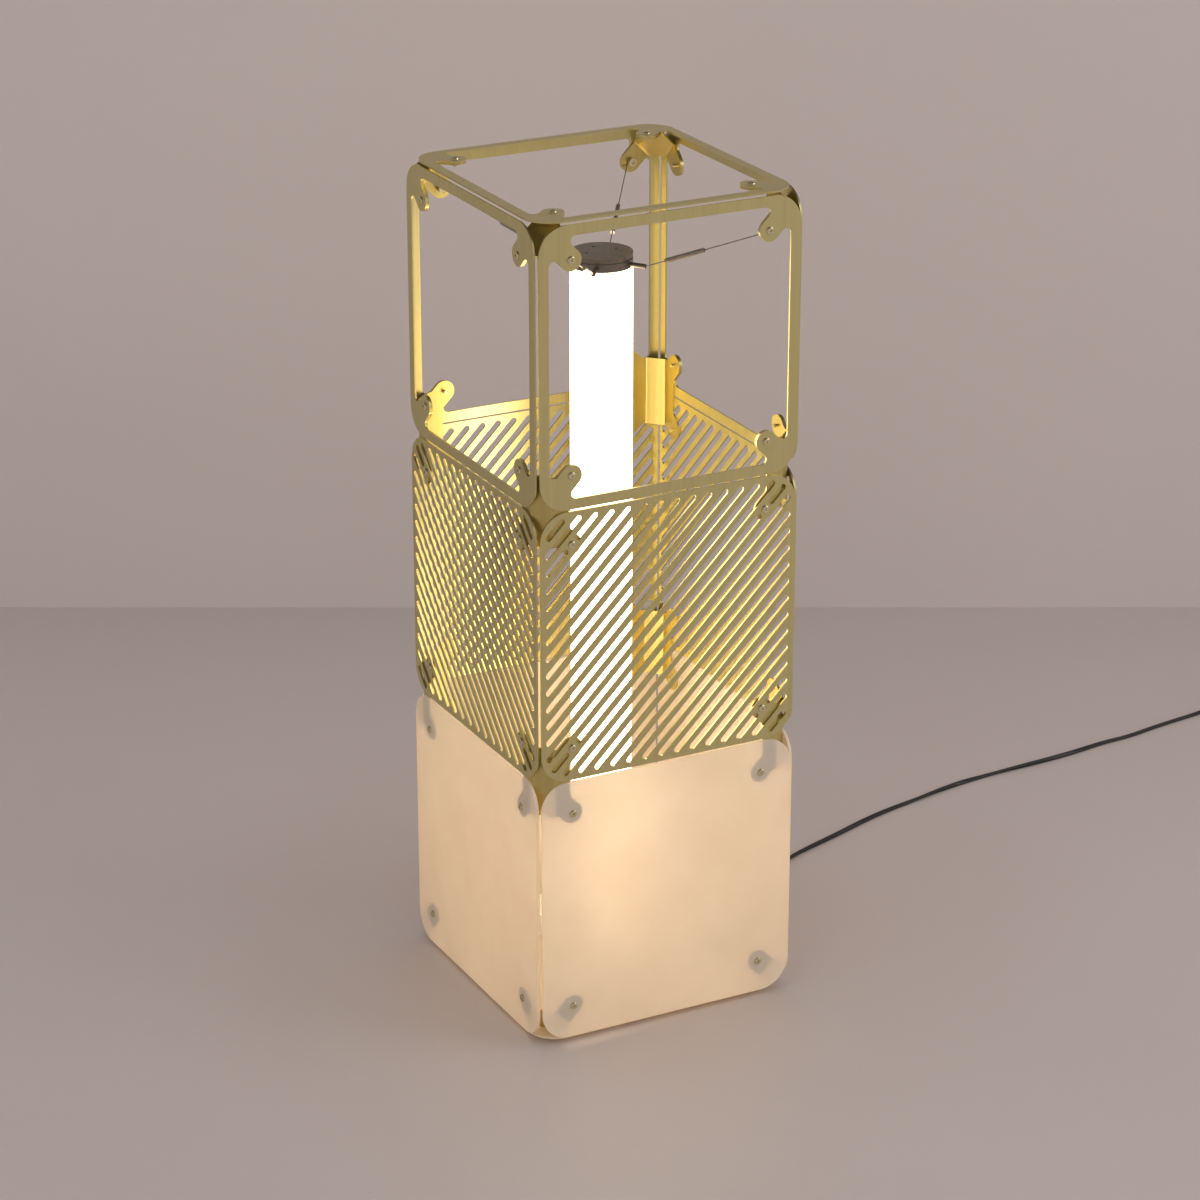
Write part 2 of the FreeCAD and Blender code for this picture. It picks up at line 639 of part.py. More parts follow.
def round_head_screw(length):
    """Low round head with a hexagon socket, its seat on XY and its shank downwards."""
    width, height, shank = size("sizes.head_width") / 2, size("sizes.head_height"), size("sizes.shank") / 2
    crown, rim = width * HEAD_CROWN, height * HEAD_RIM
    bend = Vector(width * HEAD_SHOULDER[0], 0, height * HEAD_SHOULDER[1])
    edges = [Part.LineSegment(Vector(0, 0, -length), Vector(shank, 0, -length)),
             Part.LineSegment(Vector(shank, 0, -length), Vector(shank, 0, 0)),
             Part.LineSegment(Vector(shank, 0, 0), Vector(width, 0, 0)),
             Part.LineSegment(Vector(width, 0, 0), Vector(width, 0, rim)),
             Part.Arc(Vector(width, 0, rim), bend, Vector(crown, 0, height)),
             Part.LineSegment(Vector(crown, 0, height), Vector(0, 0, height)),
             Part.LineSegment(Vector(0, 0, height), Vector(0, 0, -length))]
    solid = Part.Face(Part.Wire([edge.toShape() for edge in edges])).revolve(Vector(), Z_AXIS, 360)
    return solid.cut(hexagon(size("sizes.socket_flats"), size("sizes.socket_depth"), height))


def plate_screws(screw, face):
    """Four screws in a plate lying on XY whose outer face is at this height."""
    spot = size(SCREW_AT)
    return [screw.translated(Vector(x, y, face)) for x in (-spot, spot) for y in (-spot, spot)]


def placed(shapes, placement):
    """Copies of the shapes carried to a place."""
    return [shape.transformed(placement.toMatrix()) for shape in shapes]


def build_screws():
    """One node of screws for each module."""
    screw = round_head_screw(size("sizes.screw_length"))
    metal, panel = size("sizes.metal"), size("sizes.panel_thickness")
    groups = [("upper_frame_screws", 2, metal), ("slotted_plate_screws", 1, metal),
              ("frosted_panel_screws", 0, panel)]
    for name, level, face in groups:
        screws = []
        for quarter in range(4):
            screws += placed(plate_screws(screw, face), side_placement(quarter, level))
        if level == 2:
            screws += plate_screws(screw, size(TOP))
        if level == 0:
            below = Placement(Vector(0, 0, size("sizes.feet_height")), Rotation(Vector(1, 0, 0), 180))
            screws += placed(plate_screws(screw, 0), below)
        feature(name, Part.Compound(screws))


def build_feet():
    """Four round rubber feet under the base plate."""
    spot, radius = size("sizes.foot_at"), size("sizes.foot_diameter") / 2
    feet = [Part.makeCylinder(radius, size("sizes.feet_height"), Vector(x, y, 0))
            for x in (-spot, spot) for y in (-spot, spot)]
    feature("rubber_feet", Part.Compound(feet))


# Light tube, its cap, its socket and the bar of LEDs inside it


def build_light():
    """Opal tube from its seat in the socket to the cap, with the heat sink bar in its bore."""
    outer, bore = "sizes.tube_diameter / 2", "(sizes.tube_diameter / 2 - sizes.tube_wall)"
    wall = [(bore, SEAT), (outer, SEAT), (outer, "sizes.tube_top"), (bore, "sizes.tube_top")]
    keep(turned("diffuser_tube", wall), "diffuser_tube")
    cap_top = "(sizes.tube_top + sizes.cap_height)"
    groove_top = f"({cap_top} - sizes.cap_groove_at)"
    groove_low = f"({groove_top} - sizes.cap_groove)"
    groove_root = f"({outer} - sizes.cap_groove)"
    spigot, spigot_low = f"({bore} - sizes.fit_gap)", "(sizes.tube_top - sizes.cap_spigot)"
    cap = turned("cap_blank", [("0", spigot_low), (spigot, spigot_low), (spigot, "sizes.tube_top"),
                             (outer, "sizes.tube_top"), (outer, groove_low), (groove_root, groove_low),
                             (groove_root, groove_top), (outer, groove_top), (outer, cap_top), ("0", cap_top)])
    drilled = new_sketch(cap, "cap_drilling", lift=cap_top)
    for side in ("-", ""):
        circle(drilled, HOLE, f"{side}sizes.cap_screw_at")
    pocket(cap, drilled, "sizes.cap_height + sizes.cap_spigot", down=True)
    vent = new_sketch(cap, "cap_vent", lift=cap_top)
    circle(vent, "sizes.cap_vent", "0", "sizes.cap_vent_at")
    pocket(cap, vent, "sizes.cap_height / 2", down=True)
    sunk = new_sketch(cap, "cap_sinks", lift=cap_top)
    for side in ("-", ""):
        circle(sunk, "sizes.cap_head_width + sizes.clearance", f"{side}sizes.cap_screw_at")
    pocket(cap, sunk, "sizes.cap_head_depth", down=True)
    post_holes = doc.addObject("Part::Feature", "post_holes")
    post_holes.Shape = Part.Compound(four_ways(radial_rod(
        "(sizes.post_spigot + sizes.thread_clearance)", f"{outer} - sizes.post_spigot_length", outer)))
    drilled_cap = doc.addObject("Part::Cut", "cap_drilled")
    drilled_cap.Base = cap
    drilled_cap.Tool = post_holes
    keep(drilled_cap, "top_cap")
    spots = [Vector(side * size("sizes.cap_screw_at"), 0, size(cap_top)) for side in (-1, 1)]
    feature("cap_screws", Part.Compound([sunk_screw().translated(spot) for spot in spots]))


def build_heat_sink():
    """Aluminium bar that carries the LED strips and takes the cap's screws."""
    bar_top = "(sizes.tube_top - sizes.cap_spigot)"
    bar = new_body("led_heat_sink")
    section = new_sketch(bar, "bar_section", lift=SEAT)
    rectangle(section, "sizes.sink_width", "sizes.sink_depth")
    pad(bar, section, f"{bar_top} - {SEAT}")
    tapped = new_sketch(bar, "bar_tapped", lift=bar_top)
    for side in ("-", ""):
        circle(tapped, TAPPED, f"{side}sizes.cap_screw_at")
    into_bar = "sizes.cap_screw_length - sizes.cap_height - sizes.cap_spigot"
    pocket(bar, tapped, f"{into_bar} + sizes.shank", down=True)
    keep(bar, "led_heat_sink")
    strips = []
    faces = (("front", "-sizes.sink_depth / 2 - sizes.strip_thickness"), ("back", "sizes.sink_depth / 2"))
    for side, near in faces:
        strip = doc.addObject("Part::Box", "strip_" + side)
        strip.setExpression("Length", "sizes.strip_width")
        strip.setExpression("Width", "sizes.strip_thickness")
        strip.setExpression("Height", f"{bar_top} - {SEAT} - 2 * sizes.strip_end")
        strip.setExpression(".Placement.Base.x", "-sizes.strip_width / 2")
        strip.setExpression(".Placement.Base.y", near)
        strip.setExpression(".Placement.Base.z", f"{SEAT} + sizes.strip_end")
        strips.append(strip)
    pair = doc.addObject("Part::Compound", "led_strips")
    pair.Links = strips
    keep(pair, "led_strips")


def build_socket():
    """Turned flange on the base plate whose collar holds the tube."""
    low, rim = BASE_TOP, f"({BASE_TOP} + sizes.socket_height)"
    flange, flange_top = f"({FLANGE_SCREWS} + sizes.socket_flange)", f"({BASE_TOP} + sizes.socket_flange_height)"
    socket = turned("socket_blank", [("0", low), (flange, low), (flange, flange_top), (COLLAR, flange_top),
                                    (COLLAR, rim), (COLLAR_BORE, rim), (COLLAR_BORE, SEAT), ("0", SEAT)])
    fixing = new_sketch(socket, "flange_holes", lift=flange_top, turn=45)
    circle(fixing, HOLE, FLANGE_SCREWS)
    repeat(socket, pocket(socket, fixing, "sizes.socket_flange_height", down=True))
    doc.recompute()
    lead_way = doc.addObject("Part::Cylinder", "lead_way")
    lead_way.setExpression("Radius", "(sizes.lead + sizes.clearance) / 2")
    lead_way.setExpression("Height", flange)
    lead_way.Placement = Placement(Vector(), Rotation(Vector(1, 0, 0), -90))
    lead_way.setExpression(".Placement.Base.z", LEAD_LOW)
    drilled = doc.addObject("Part::Cut", "socket_drilled")
    drilled.Base = socket
    drilled.Tool = lead_way
    keep(drilled, "tube_socket")
    screw = round_head_screw(size("sizes.socket_flange_height + sizes.metal"))
    first = Vector(size(FLANGE_SCREWS), 0, size(flange_top))
    around = [Rotation(Z_AXIS, 45 + 90 * turn).multVec(first) for turn in range(len(SIDES))]
    feature("socket_screws", Part.Compound([screw.translated(spot) for spot in around]))


def sunk_screw():
    """Countersunk screw, its flat head's top on XY."""
    head, depth = size("sizes.cap_head_width") / 2, size("sizes.cap_head_depth")
    shank = size("sizes.shank") / 2
    solid = Part.makeCone(shank, head, depth, Vector(0, 0, -depth))
    solid = solid.fuse(Part.makeCylinder(shank, size("sizes.cap_screw_length"), Vector(), -Z_AXIS)).removeSplitter()
    return solid.cut(hexagon(size("sizes.socket_flats"), size("sizes.socket_depth"), 0))


# Suspension wires: from posts in the cap's side to the upper screws of the front and back plates


def four_ways(shape):
    """The shape and its mirror images across the two middle planes."""
    pair = [shape, shape.mirror(Vector(), Vector(1, 0, 0))]
    return pair + [item.mirror(Vector(), Vector(0, 1, 0)) for item in pair]


def wire_heading():
    """Direction in plan from the axis to an anchor screw."""
    return Vector(size(SCREW_AT), size(INNER), 0).normalize()


def post_height():
    return size("sizes.tube_top + sizes.cap_height - sizes.post_drop")


def radial_rod(diameter, start, end):
    """Level rod along the wire's heading, between two distances from the axis."""
    heading = wire_heading()
    foot = heading * size(start) + Vector(0, 0, post_height())
    return Part.makeCylinder(size(diameter) / 2, size(f"{end} - ({start})"), foot, heading)


def build_suspension():
    """Posts, wires with their end loops, tension sleeves and anchor nuts."""
    outer = "sizes.tube_diameter / 2"
    post = radial_rod("sizes.post_spigot", f"{outer} - sizes.post_spigot_length", "sizes.post_end")
    post = post.fuse(radial_rod("sizes.post_diameter", f"{outer} + sizes.thread_clearance", "sizes.post_end"))
    feature("wire_anchor_posts", Part.Compound(four_ways(post.removeSplitter())))
    radius, shank = size("sizes.wire") / 2, size("sizes.shank") / 2
    flap = size(f"{INNER} - sizes.metal")
    height = module_height(2) + size(SCREW_AT)
    eye = Vector(size(SCREW_AT), flap - radius, height)
    start = wire_heading() * size("sizes.post_end") + Vector(0, 0, post_height())
    aim = Vector(start.x - eye.x, 0, start.z - eye.z).normalize()
    bend = eye + aim * (size("sizes.anchor_diameter") / 2 + 2 * radius)
    run = bend - start
    loop_radius = shank + size("sizes.thread_clearance") / 2 + radius
    wire = Part.makeCylinder(radius, run.Length, start, run)
    wire = wire.fuse([Part.makeSphere(radius, bend),
                      Part.makeCylinder(radius, (bend - eye).Length - loop_radius, bend, eye - bend),
                      Part.makeTorus(loop_radius, radius, eye, Vector(0, 1, 0))])
    feature("suspension_wires", Part.Compound(four_ways(wire)))
    along = Vector(run).normalize()
    sleeve_start = start + along * size("sizes.sleeve_from")
    length = size("sizes.sleeve_length")
    sleeve = Part.makeCylinder(size("sizes.sleeve_diameter") / 2, length, sleeve_start, along)
    sleeve = sleeve.cut(Part.makeCylinder(size("sizes.sleeve_bore") / 2, length, sleeve_start, along))
    feature("tension_sleeves", Part.Compound(four_ways(sleeve)))
    depth = size("sizes.socket_depth")
    bore = size("sizes.screw_length - 2 * sizes.metal - sizes.wire + sizes.anchor_floor")
    nut_height = bore + depth
    nut = Part.makeCylinder(size("sizes.anchor_diameter") / 2, nut_height)
    nut = nut.cut(Part.makeCylinder(size(TAPPED) / 2, bore))
    nut = nut.cut(hexagon(size("sizes.anchor_flats"), depth, nut_height))
    inward = Placement(Vector(eye.x, eye.y - radius, height), Rotation(Vector(1, 0, 0), 90))
    feature("wire_anchor_nuts", Part.Compound(four_ways(nut.transformed(inward.toMatrix()))))


# Routes of round cords and leads: straight runs joined by arcs as large as the runs allow


ARC_SHARE = 0.45  # how much of the shorter run beside a corner its arc takes


def rounded_route(points):
    """Edges of the route and the radii of its arcs."""
    edges, radii, last = [], [], points[0]
    for before, corner, after in zip(points, points[1:], points[2:]):
        back, on = (before - corner), (after - corner)
        reach = ARC_SHARE * min(back.Length, on.Length)
        back, on = back.normalize(), on.normalize()
        inside = back.getAngle(on) / 2
        radius = reach * math.tan(inside)
        start, end = corner + back * reach, corner + on * reach
        middle = corner + (back + on).normalize() * (radius / math.sin(inside) - radius)
        edges += [Part.LineSegment(last, start).toShape(), Part.Arc(start, middle, end).toShape()]
        radii.append(radius)
        last = end
    edges.append(Part.LineSegment(last, points[-1]).toShape())
    return edges, radii


def tube_along(edges, diameter, start, heading):
    """Solid tube along tangent edges, its first face square to the heading."""
    outline = Part.Wire(Part.Circle(start, heading, diameter / 2).toShape())
    path = Part.Wire(edges)
    tube = path.makePipeShell([outline], True, False)
    print(f"   tube {path.Length:.1f} mm, volume over section times length "
          f"{tube.Volume / (path.Length * math.pi * diameter ** 2 / 4):.4f}")
    return tube, path.Length


def cord_tube(name, points, diameter):
    """Round cord through chosen points, with its least bend radius printed."""
    edges, radii = rounded_route(points)
    tube, length = tube_along(edges, diameter, points[0], points[1] - points[0])
    print(f"{name}: {length:.1f} mm, radii {', '.join(f'{radius:.0f}' for radius in radii)}")
    return tube


# Electrical pieces on the base plate


LEAD_LOW = f"({BASE_TOP} + sizes.socket_base / 2)"
LEAD_HIGH = f"({BASE_TOP} + sizes.terminal_height / 2)"


def build_electrics():
    """Driver and terminal block behind the tube, and the leads between them."""
    driver = new_body("led_driver")
    tabs = new_sketch(driver, "driver_tabs", lift=BASE_TOP)
    rectangle(tabs, "sizes.driver_length + 2 * sizes.driver_tab", "sizes.driver_width / 2", "0", "sizes.driver_at")
    pad(driver, tabs, "sizes.driver_tab_height")
    case = new_sketch(driver, "driver_case", lift=BASE_TOP)
    rectangle(case, "sizes.driver_length", "sizes.driver_width", "0", "sizes.driver_at")
    pad(driver, case, "sizes.driver_height")
    doc.recompute()
    tops = [f"Edge{number}" for number, edge in enumerate(driver.Shape.Edges, start=1)
            if edge.BoundBox.ZMin > size(f"{BASE_TOP} + sizes.driver_height") - NEAR]
    fillet(driver, tops, "sizes.driver_round")
    holes = new_sketch(driver, "driver_holes", lift=f"{BASE_TOP} + sizes.driver_tab_height")
    for side in ("-", ""):
        circle(holes, HOLE, f"{side}(sizes.driver_length + sizes.driver_tab) / 2", "sizes.driver_at")
    pocket(driver, holes, "sizes.driver_tab_height", down=True)
    keep(driver, "led_driver")
    screw = round_head_screw(size("sizes.driver_tab_height + sizes.metal"))
    spots = [Vector(side * size("(sizes.driver_length + sizes.driver_tab) / 2"), size("sizes.driver_at"),
                    size(f"{BASE_TOP} + sizes.driver_tab_height")) for side in (-1, 1)]
    feature("driver_screws", Part.Compound([screw.translated(spot) for spot in spots]))
    terminal = doc.addObject("Part::Box", "terminal_block")
    terminal.setExpression("Length", "sizes.terminal_length")
    terminal.setExpression("Width", "sizes.terminal_width")
    terminal.setExpression("Height", "sizes.terminal_height")
    terminal.setExpression(".Placement.Base.x", f"{INNER} - sizes.terminal_back - sizes.terminal_length")
    terminal.setExpression(".Placement.Base.y", "sizes.gland_side - sizes.terminal_width / 2")
    terminal.setExpression(".Placement.Base.z", BASE_TOP)
    keep(terminal, "terminal_block")
    lead, side = size("sizes.lead"), size("sizes.gland_side")
    back, low, high = size("sizes.driver_at"), size(LEAD_LOW), size(LEAD_HIGH)
    block_face = size(f"{INNER} - sizes.terminal_back")
    inner_face = block_face - size("sizes.terminal_length")
    driver_end = size("sizes.driver_length / 2")
    gland_end = size(f"{INNER} - sizes.gland_inside")
    fall = (gland_end - block_face) / 4
    turn = (inner_face + driver_end) / 2
    front = back - size("sizes.driver_width / 2")
    gland = size("sizes.gland_height")
    routes = [
        [Vector(gland_end, side, gland), Vector(gland_end - fall, side, gland),
         Vector(block_face + fall, side, high), Vector(block_face, side, high)],
        [Vector(inner_face, side, high), Vector(turn, side, high), Vector(turn, back, high),
         Vector(driver_end, back, high)]]
    leads = []
    for route in routes:
        edges, radii = rounded_route(route)
        leads.append(tube_along(edges, lead, route[0], route[1] - route[0])[0])
    leads.append(Part.makeCylinder(lead / 2, front - lead, Vector(0, front, low), Vector(0, -1, 0)))
    feature("lead_wires", Part.Compound(leads))


# Cord on the floor, with its gland, foot switch and plug


# Points on the cord's centre line from the gland to the foot switch, as it lies in the photograph
CORD_POINTS = [
    (222, 70, 15), (248, 85, 7), (273, 101, 3.2), (296, 115, 3), (318, 128, 3), (357, 141.5, 3),
    (399, 155.5, 3), (441, 172, 3), (483, 185, 3), (525, 194.5, 3), (566, 203, 3), (605, 210.5, 3),
    (643, 215.5, 3), (680, 216, 3), (716, 217.2, 3), (752, 219.5, 3), (790, 224.5, 3), (828, 231, 3),
    (864, 232, 3), (904, 240, 3), (944, 246, 3), (984, 251, 3)]
# Where the foot switch lies, past the part of the cord in view, and how its length is turned
SWITCH_SPOT, SWITCH_TURN = Vector(1078, 252, 0), -5
FIRST_RUN, SWITCH_RUN, LEAD_RUN = 18, 26, 24
# From the switch to the coil
LEAD_POINTS = [(1164.2, 237.7, 3), (1181.5, 224.2, 3)]
COIL_CLIMB_START, COIL_CLIMB_QUARTERS = 9.5, 2


def build_gland():
    """Moulded strain relief with a threaded body through the panel, and its nut inside."""
    root, flange = "sizes.gland_thread / 2", "sizes.gland_flange / 2"
    inside = "-(sizes.panel_thickness + sizes.gland_inside)"
    tip = "(sizes.gland_flange_height + sizes.gland_relief)"
    gland = turned("cord_gland", [("0", inside), (root, inside), (root, "0"), (flange, "0"),
                                  (flange, "sizes.gland_flange_height"),
                                  ("sizes.gland_relief_root / 2", "sizes.gland_flange_height"),
                                  ("sizes.gland_relief_tip / 2", tip), ("0", tip)])
    outer_face = size(f"{INNER} + sizes.panel_thickness")
    place = Placement(Vector(outer_face, size("sizes.gland_side"), size("sizes.gland_height")),
                      Rotation(Vector(0, 1, 0), 90))
    keep(gland, "cord_gland", place)
    height, corner = size("sizes.gland_nut_height"), size("sizes.gland_nut")
    nut = hexagon(corner * math.sqrt(3) / 2, height, height)
    nut = nut.cut(Part.makeCylinder(size("sizes.gland_thread + sizes.thread_clearance") / 2, height))
    behind = Placement(place.Base - Vector(size("sizes.panel_thickness") + height, 0, 0), place.Rotation)
    feature("gland_nut", nut, behind)
    return place.multVec(Vector(0, 0, size(tip)))


def coil_route(start, heading):
    """Coil turning right: inwards on the floor, up a layer at its middle, outwards above."""
    inner, step = size("sizes.coil_inner"), size("sizes.coil_step")
    rise = size("sizes.plug_thickness") / 2 - start.z
    quarters = round(4 * size("sizes.coil_turns"))
    middle = quarters / 2
    right = Vector(heading.y, -heading.x, 0)
    outer = inner + step * middle / 4
    centre = start + right * outer
    spots = []
    for quarter in range(quarters + 1):
        radius = inner + step * abs(quarter - middle) / 4
        climb = min(max((quarter - COIL_CLIMB_START) / COIL_CLIMB_QUARTERS, 0), 1)
        arm = Rotation(Z_AXIS, -90 * quarter).multVec(right * -radius)
        spots.append(centre + arm + Vector(0, 0, rise * climb * climb * (3 - 2 * climb)))
    last = Rotation(Z_AXIS, -90 * quarters).multVec(heading)
    tangents = [heading] + [(b - a).normalize() for a, b in zip(spots, spots[2:])] + [last]
    edges = []
    for begin, end, out, into in zip(spots, spots[1:], tangents, tangents[1:]):
        chord, both = end - begin, out + into
        square, linear = 2 * out.dot(into) - 2, -2 * chord.dot(both)
        arm = (-linear - math.sqrt(linear ** 2 - 4 * square * chord.dot(chord))) / (2 * square)
        joint = (begin + out * arm + end - into * arm) * 0.5
        for a, knee, b in ((begin, begin + out * arm, joint), (joint, end - into * arm, end)):
            weight = (b - a).Length / (2 * arm)
            edges.append(Part.Arc(a, (a + knee * (2 * weight) + b) * (1 / (2 + 2 * weight)), b).toShape())
    return edges, spots[-1], last


GAP_STEP = 2  # between the points at which a tube's gap to itself is measured


def least_gap(edges, diameter):
    """Least gap between stretches of a tube that lie more than three diameters apart along it."""
    points, gone, places = [], 0, []
    for edge in edges:
        count = max(2, math.ceil(edge.Length / GAP_STEP))
        for index, point in enumerate(edge.discretize(count + 1)[:-1]):
            points.append(point)
            places.append(gone + edge.Length * index / count)
        gone += edge.Length
    least = min((a - b).Length for i, a in enumerate(points) for j, b in enumerate(points[:i])
                if places[i] - places[j] > 3 * diameter)
    return least - diameter


def build_cord():
    """The cord's two stretches and its coil, with the switch and the plug placed on them."""
    diameter = size("sizes.cord")
    tip = build_gland()
    switch = Placement(SWITCH_SPOT, Rotation(Z_AXIS, SWITCH_TURN))
    end, entry = size("sizes.switch_length / 2"), size("sizes.switch_entry")
    route = [tip, tip + Vector(FIRST_RUN, 0, 0)] + [Vector(*point) for point in CORD_POINTS]
    route += [switch.multVec(Vector(-end - SWITCH_RUN, 0, entry)), switch.multVec(Vector(-end, 0, entry))]
    feature("cord_free", cord_tube("cord_free", route, diameter))
    route = [switch.multVec(Vector(end, 0, entry)), switch.multVec(Vector(end + LEAD_RUN, 0, entry))]
    route += [Vector(*point) for point in LEAD_POINTS]
    feature("cord_lead", cord_tube("cord_lead", route, diameter))
    heading = (route[-1] - route[-2]).normalize()
    begin = route[-1] + heading * diameter
    arcs, stop, last = coil_route(begin, heading)
    finish = stop + last * diameter
    edges = [Part.LineSegment(route[-1], begin).toShape()] + arcs + [Part.LineSegment(stop, finish).toShape()]
    coil, length = tube_along(edges, diameter, route[-1], heading)
    print(f"cord_coil: {length:.1f} mm, least gap {least_gap(edges, diameter):.2f} mm, "
          f"least radius {min(arc.Curve.Radius for arc in arcs):.1f} mm")
    feature("cord_coil", coil)
    build_switch(switch)
    build_plug(Placement(Vector(finish.x, finish.y, 0), Rotation(Vector(1, 0, 0), last)))


def build_switch(place):
    """In-line foot switch along X: shell, cover, sprung push button and its spring."""
    length, width, wall = "sizes.switch_length", "sizes.switch_width", "sizes.switch_wall"
    hollow_length, hollow_width = f"({length} - 2 * sizes.switch_corner)", f"({width} - 2 * {wall})"
    shell_top, cover_top = "sizes.switch_shell", "(sizes.switch_shell + sizes.switch_cover)"
    roof = f"({cover_top} - {wall})"
    housing = new_body("switch_housing")
    plan = new_sketch(housing, "shell_plan")
    rectangle(plan, length, width)
    pad(housing, plan, shell_top)
    doc.recompute()
    fillet(housing, upright_edges(housing.Shape, lambda x, y: True), "sizes.switch_corner")
    hollow = new_sketch(housing, "shell_hollow", lift=shell_top)
    rectangle(hollow, hollow_length, hollow_width)
    pocket(housing, hollow, f"{shell_top} - {wall}", down=True)
    seat = new_sketch(housing, "spring_seat", lift=wall)
    circle(seat, "sizes.seat_diameter")
    pad(housing, seat, f"sizes.seat_height - {wall}")
    keep(housing, "switch_housing", place)
    cover = new_body("switch_cover")
    plan = new_sketch(cover, "cover_plan", lift=shell_top)
    rectangle(plan, length, width)
    pad(cover, plan, "sizes.switch_cover")
    doc.recompute()
    fillet(cover, upright_edges(cover.Shape, lambda x, y: True), "sizes.switch_corner")
    doc.recompute()
    rim = [f"Edge{number}" for number, edge in enumerate(cover.Shape.Edges, start=1)
           if edge.BoundBox.ZMin > size(cover_top) - NEAR]
    fillet(cover, rim, "sizes.switch_round")
    hollow = new_sketch(cover, "cover_hollow", lift=shell_top)
    rectangle(hollow, hollow_length, hollow_width)
    pocket(cover, hollow, f"sizes.switch_cover - {wall}")
    mouth = new_sketch(cover, "button_mouth", lift=cover_top)
    circle(mouth, "sizes.button_diameter + 2 * sizes.fit_gap")
    pocket(cover, mouth, f"2 * {wall}", down=True)
    keep(cover, "switch_cover", place)
    stem, flange, bore = "sizes.button_diameter / 2", "sizes.button_flange / 2", "sizes.button_hollow / 2"
    flange_top = f"({roof} - sizes.fit_gap)"
    flange_low = f"({flange_top} - sizes.button_flange_height)"
    crown = f"({cover_top} + sizes.button_proud)"
    ceiling = f"({crown} - sizes.button_roof)"
    button = turned("switch_button", [("0", ceiling), (bore, ceiling), (bore, flange_low), (flange, flange_low),
                                      (flange, flange_top), (stem, flange_top), (stem, crown), ("0", crown)])
    keep(button, "switch_button", place)
    wire = size("sizes.spring_wire")
    radius = size("sizes.spring_diameter") / 2 - wire / 2
    low, high = size("sizes.seat_height") + wire / 2, size(ceiling) - wire / 2
    helix = Part.makeHelix((high - low) / size("sizes.spring_turns"), high - low, radius)
    helix.translate(Vector(0, 0, low))
    outline = Part.Wire(Part.Circle(Vector(radius, 0, low), Vector(0, 1, 0), wire / 2).toShape())
    feature("switch_spring", Part.Wire(helix).makePipeShell([outline], True, True), place)


def build_plug(place):
    """Two-pin plug lying flat, its cord end at the origin and its pins along +X."""
    axis = "sizes.plug_thickness / 2"
    body = new_body("plug_block")
    plan = new_sketch(body, "plug_plan")
    root, nose = "sizes.plug_relief", "(sizes.plug_relief + sizes.plug_length)"
    polygon(plan, [(root, "-sizes.plug_nose / 2"), (nose, "-sizes.plug_width / 2"),
                   (nose, "sizes.plug_width / 2"), (root, "sizes.plug_nose / 2")])
    pad(body, plan, "sizes.plug_thickness")
    doc.recompute()
    fillet(body, upright_edges(body.Shape, lambda x, y: True), "sizes.plug_round")
    doc.recompute()
    thick = size("sizes.plug_thickness")
    rims = [f"Edge{number}" for number, edge in enumerate(body.Shape.Edges, start=1)
            if edge.BoundBox.ZMin > thick - NEAR or edge.BoundBox.ZMax < NEAR]
    fillet(body, rims, "sizes.plug_round / 2")
    relief = doc.addObject("Part::Cone", "plug_relief")
    relief.setExpression("Radius1", "sizes.plug_relief_tip / 2")
    relief.setExpression("Radius2", "sizes.plug_relief_root / 2")
    relief.setExpression("Height", "sizes.plug_relief")
    relief.Placement = Placement(Vector(0, 0, size(axis)), Rotation(Vector(0, 1, 0), 90))
    whole = doc.addObject("Part::Fuse", "plug_whole")
    whole.Base, whole.Tool = body, relief
    face, spacing = size(nose), size("sizes.pin_spacing") / 2
    pins = []
    holes = []
    for side in (-1, 1):
        foot = Vector(face - size("sizes.pin_root"), side * spacing, size(axis))
        length = size("sizes.pin_root + sizes.pin_length")
        pin = Part.makeCylinder(size("sizes.pin_diameter") / 2, length, foot, Vector(1, 0, 0))
        ends = [edge for edge in pin.Edges if abs(edge.BoundBox.XMin - foot.x - length) < NEAR]
        pins.append(pin.makeFillet(size("sizes.pin_diameter") / 4, ends))
        holes.append(Part.makeCylinder(size("sizes.pin_diameter + sizes.thread_clearance") / 2, length, foot,
                                       Vector(1, 0, 0)))
    sockets = doc.addObject("Part::Feature", "pin_holes")
    sockets.Shape = Part.Compound(holes)
    plug = doc.addObject("Part::Cut", "plug_body")
    plug.Base, plug.Tool = whole, sockets
    keep(plug, "plug_body", place)
    feature("plug_pins", Part.Compound(pins), place)


build_plates()
build_brackets()
build_screws()
build_feet()
build_light()
build_heat_sink()
build_socket()
build_suspension()
build_electrics()
build_cord()
doc.recompute()

os.makedirs("parts", exist_ok=True)
for item in doc.Objects:
    if "Invalid" in item.State or "Error" in item.State:
        raise ValueError(f"{item.Name}: {item.State}")
for item in nodes:
    if item.Shape.isNull() or not item.Shape.isValid():
        raise ValueError(f"{item.Label}: bad shape")
for item in nodes:
    item.Shape.exportStep(f"parts/{item.Label}.step")
print(len(nodes), "nodes")
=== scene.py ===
# %% [markdown]
# # A lit column floor lamp, finished in Blender
#
# The lamp is a square column of flat plates: open brass-tone frames on top, slotted sheets in the middle
# and opal acrylic panels below, with a light tube standing inside. A CAD model already holds every plate,
# bracket, screw and wire in its true place. This lesson loads that model as a fixed frame and adds what CAD
# can't show: finishes, light, the soft cord and the small moulded details.

# %% Load the CAD frame
import math

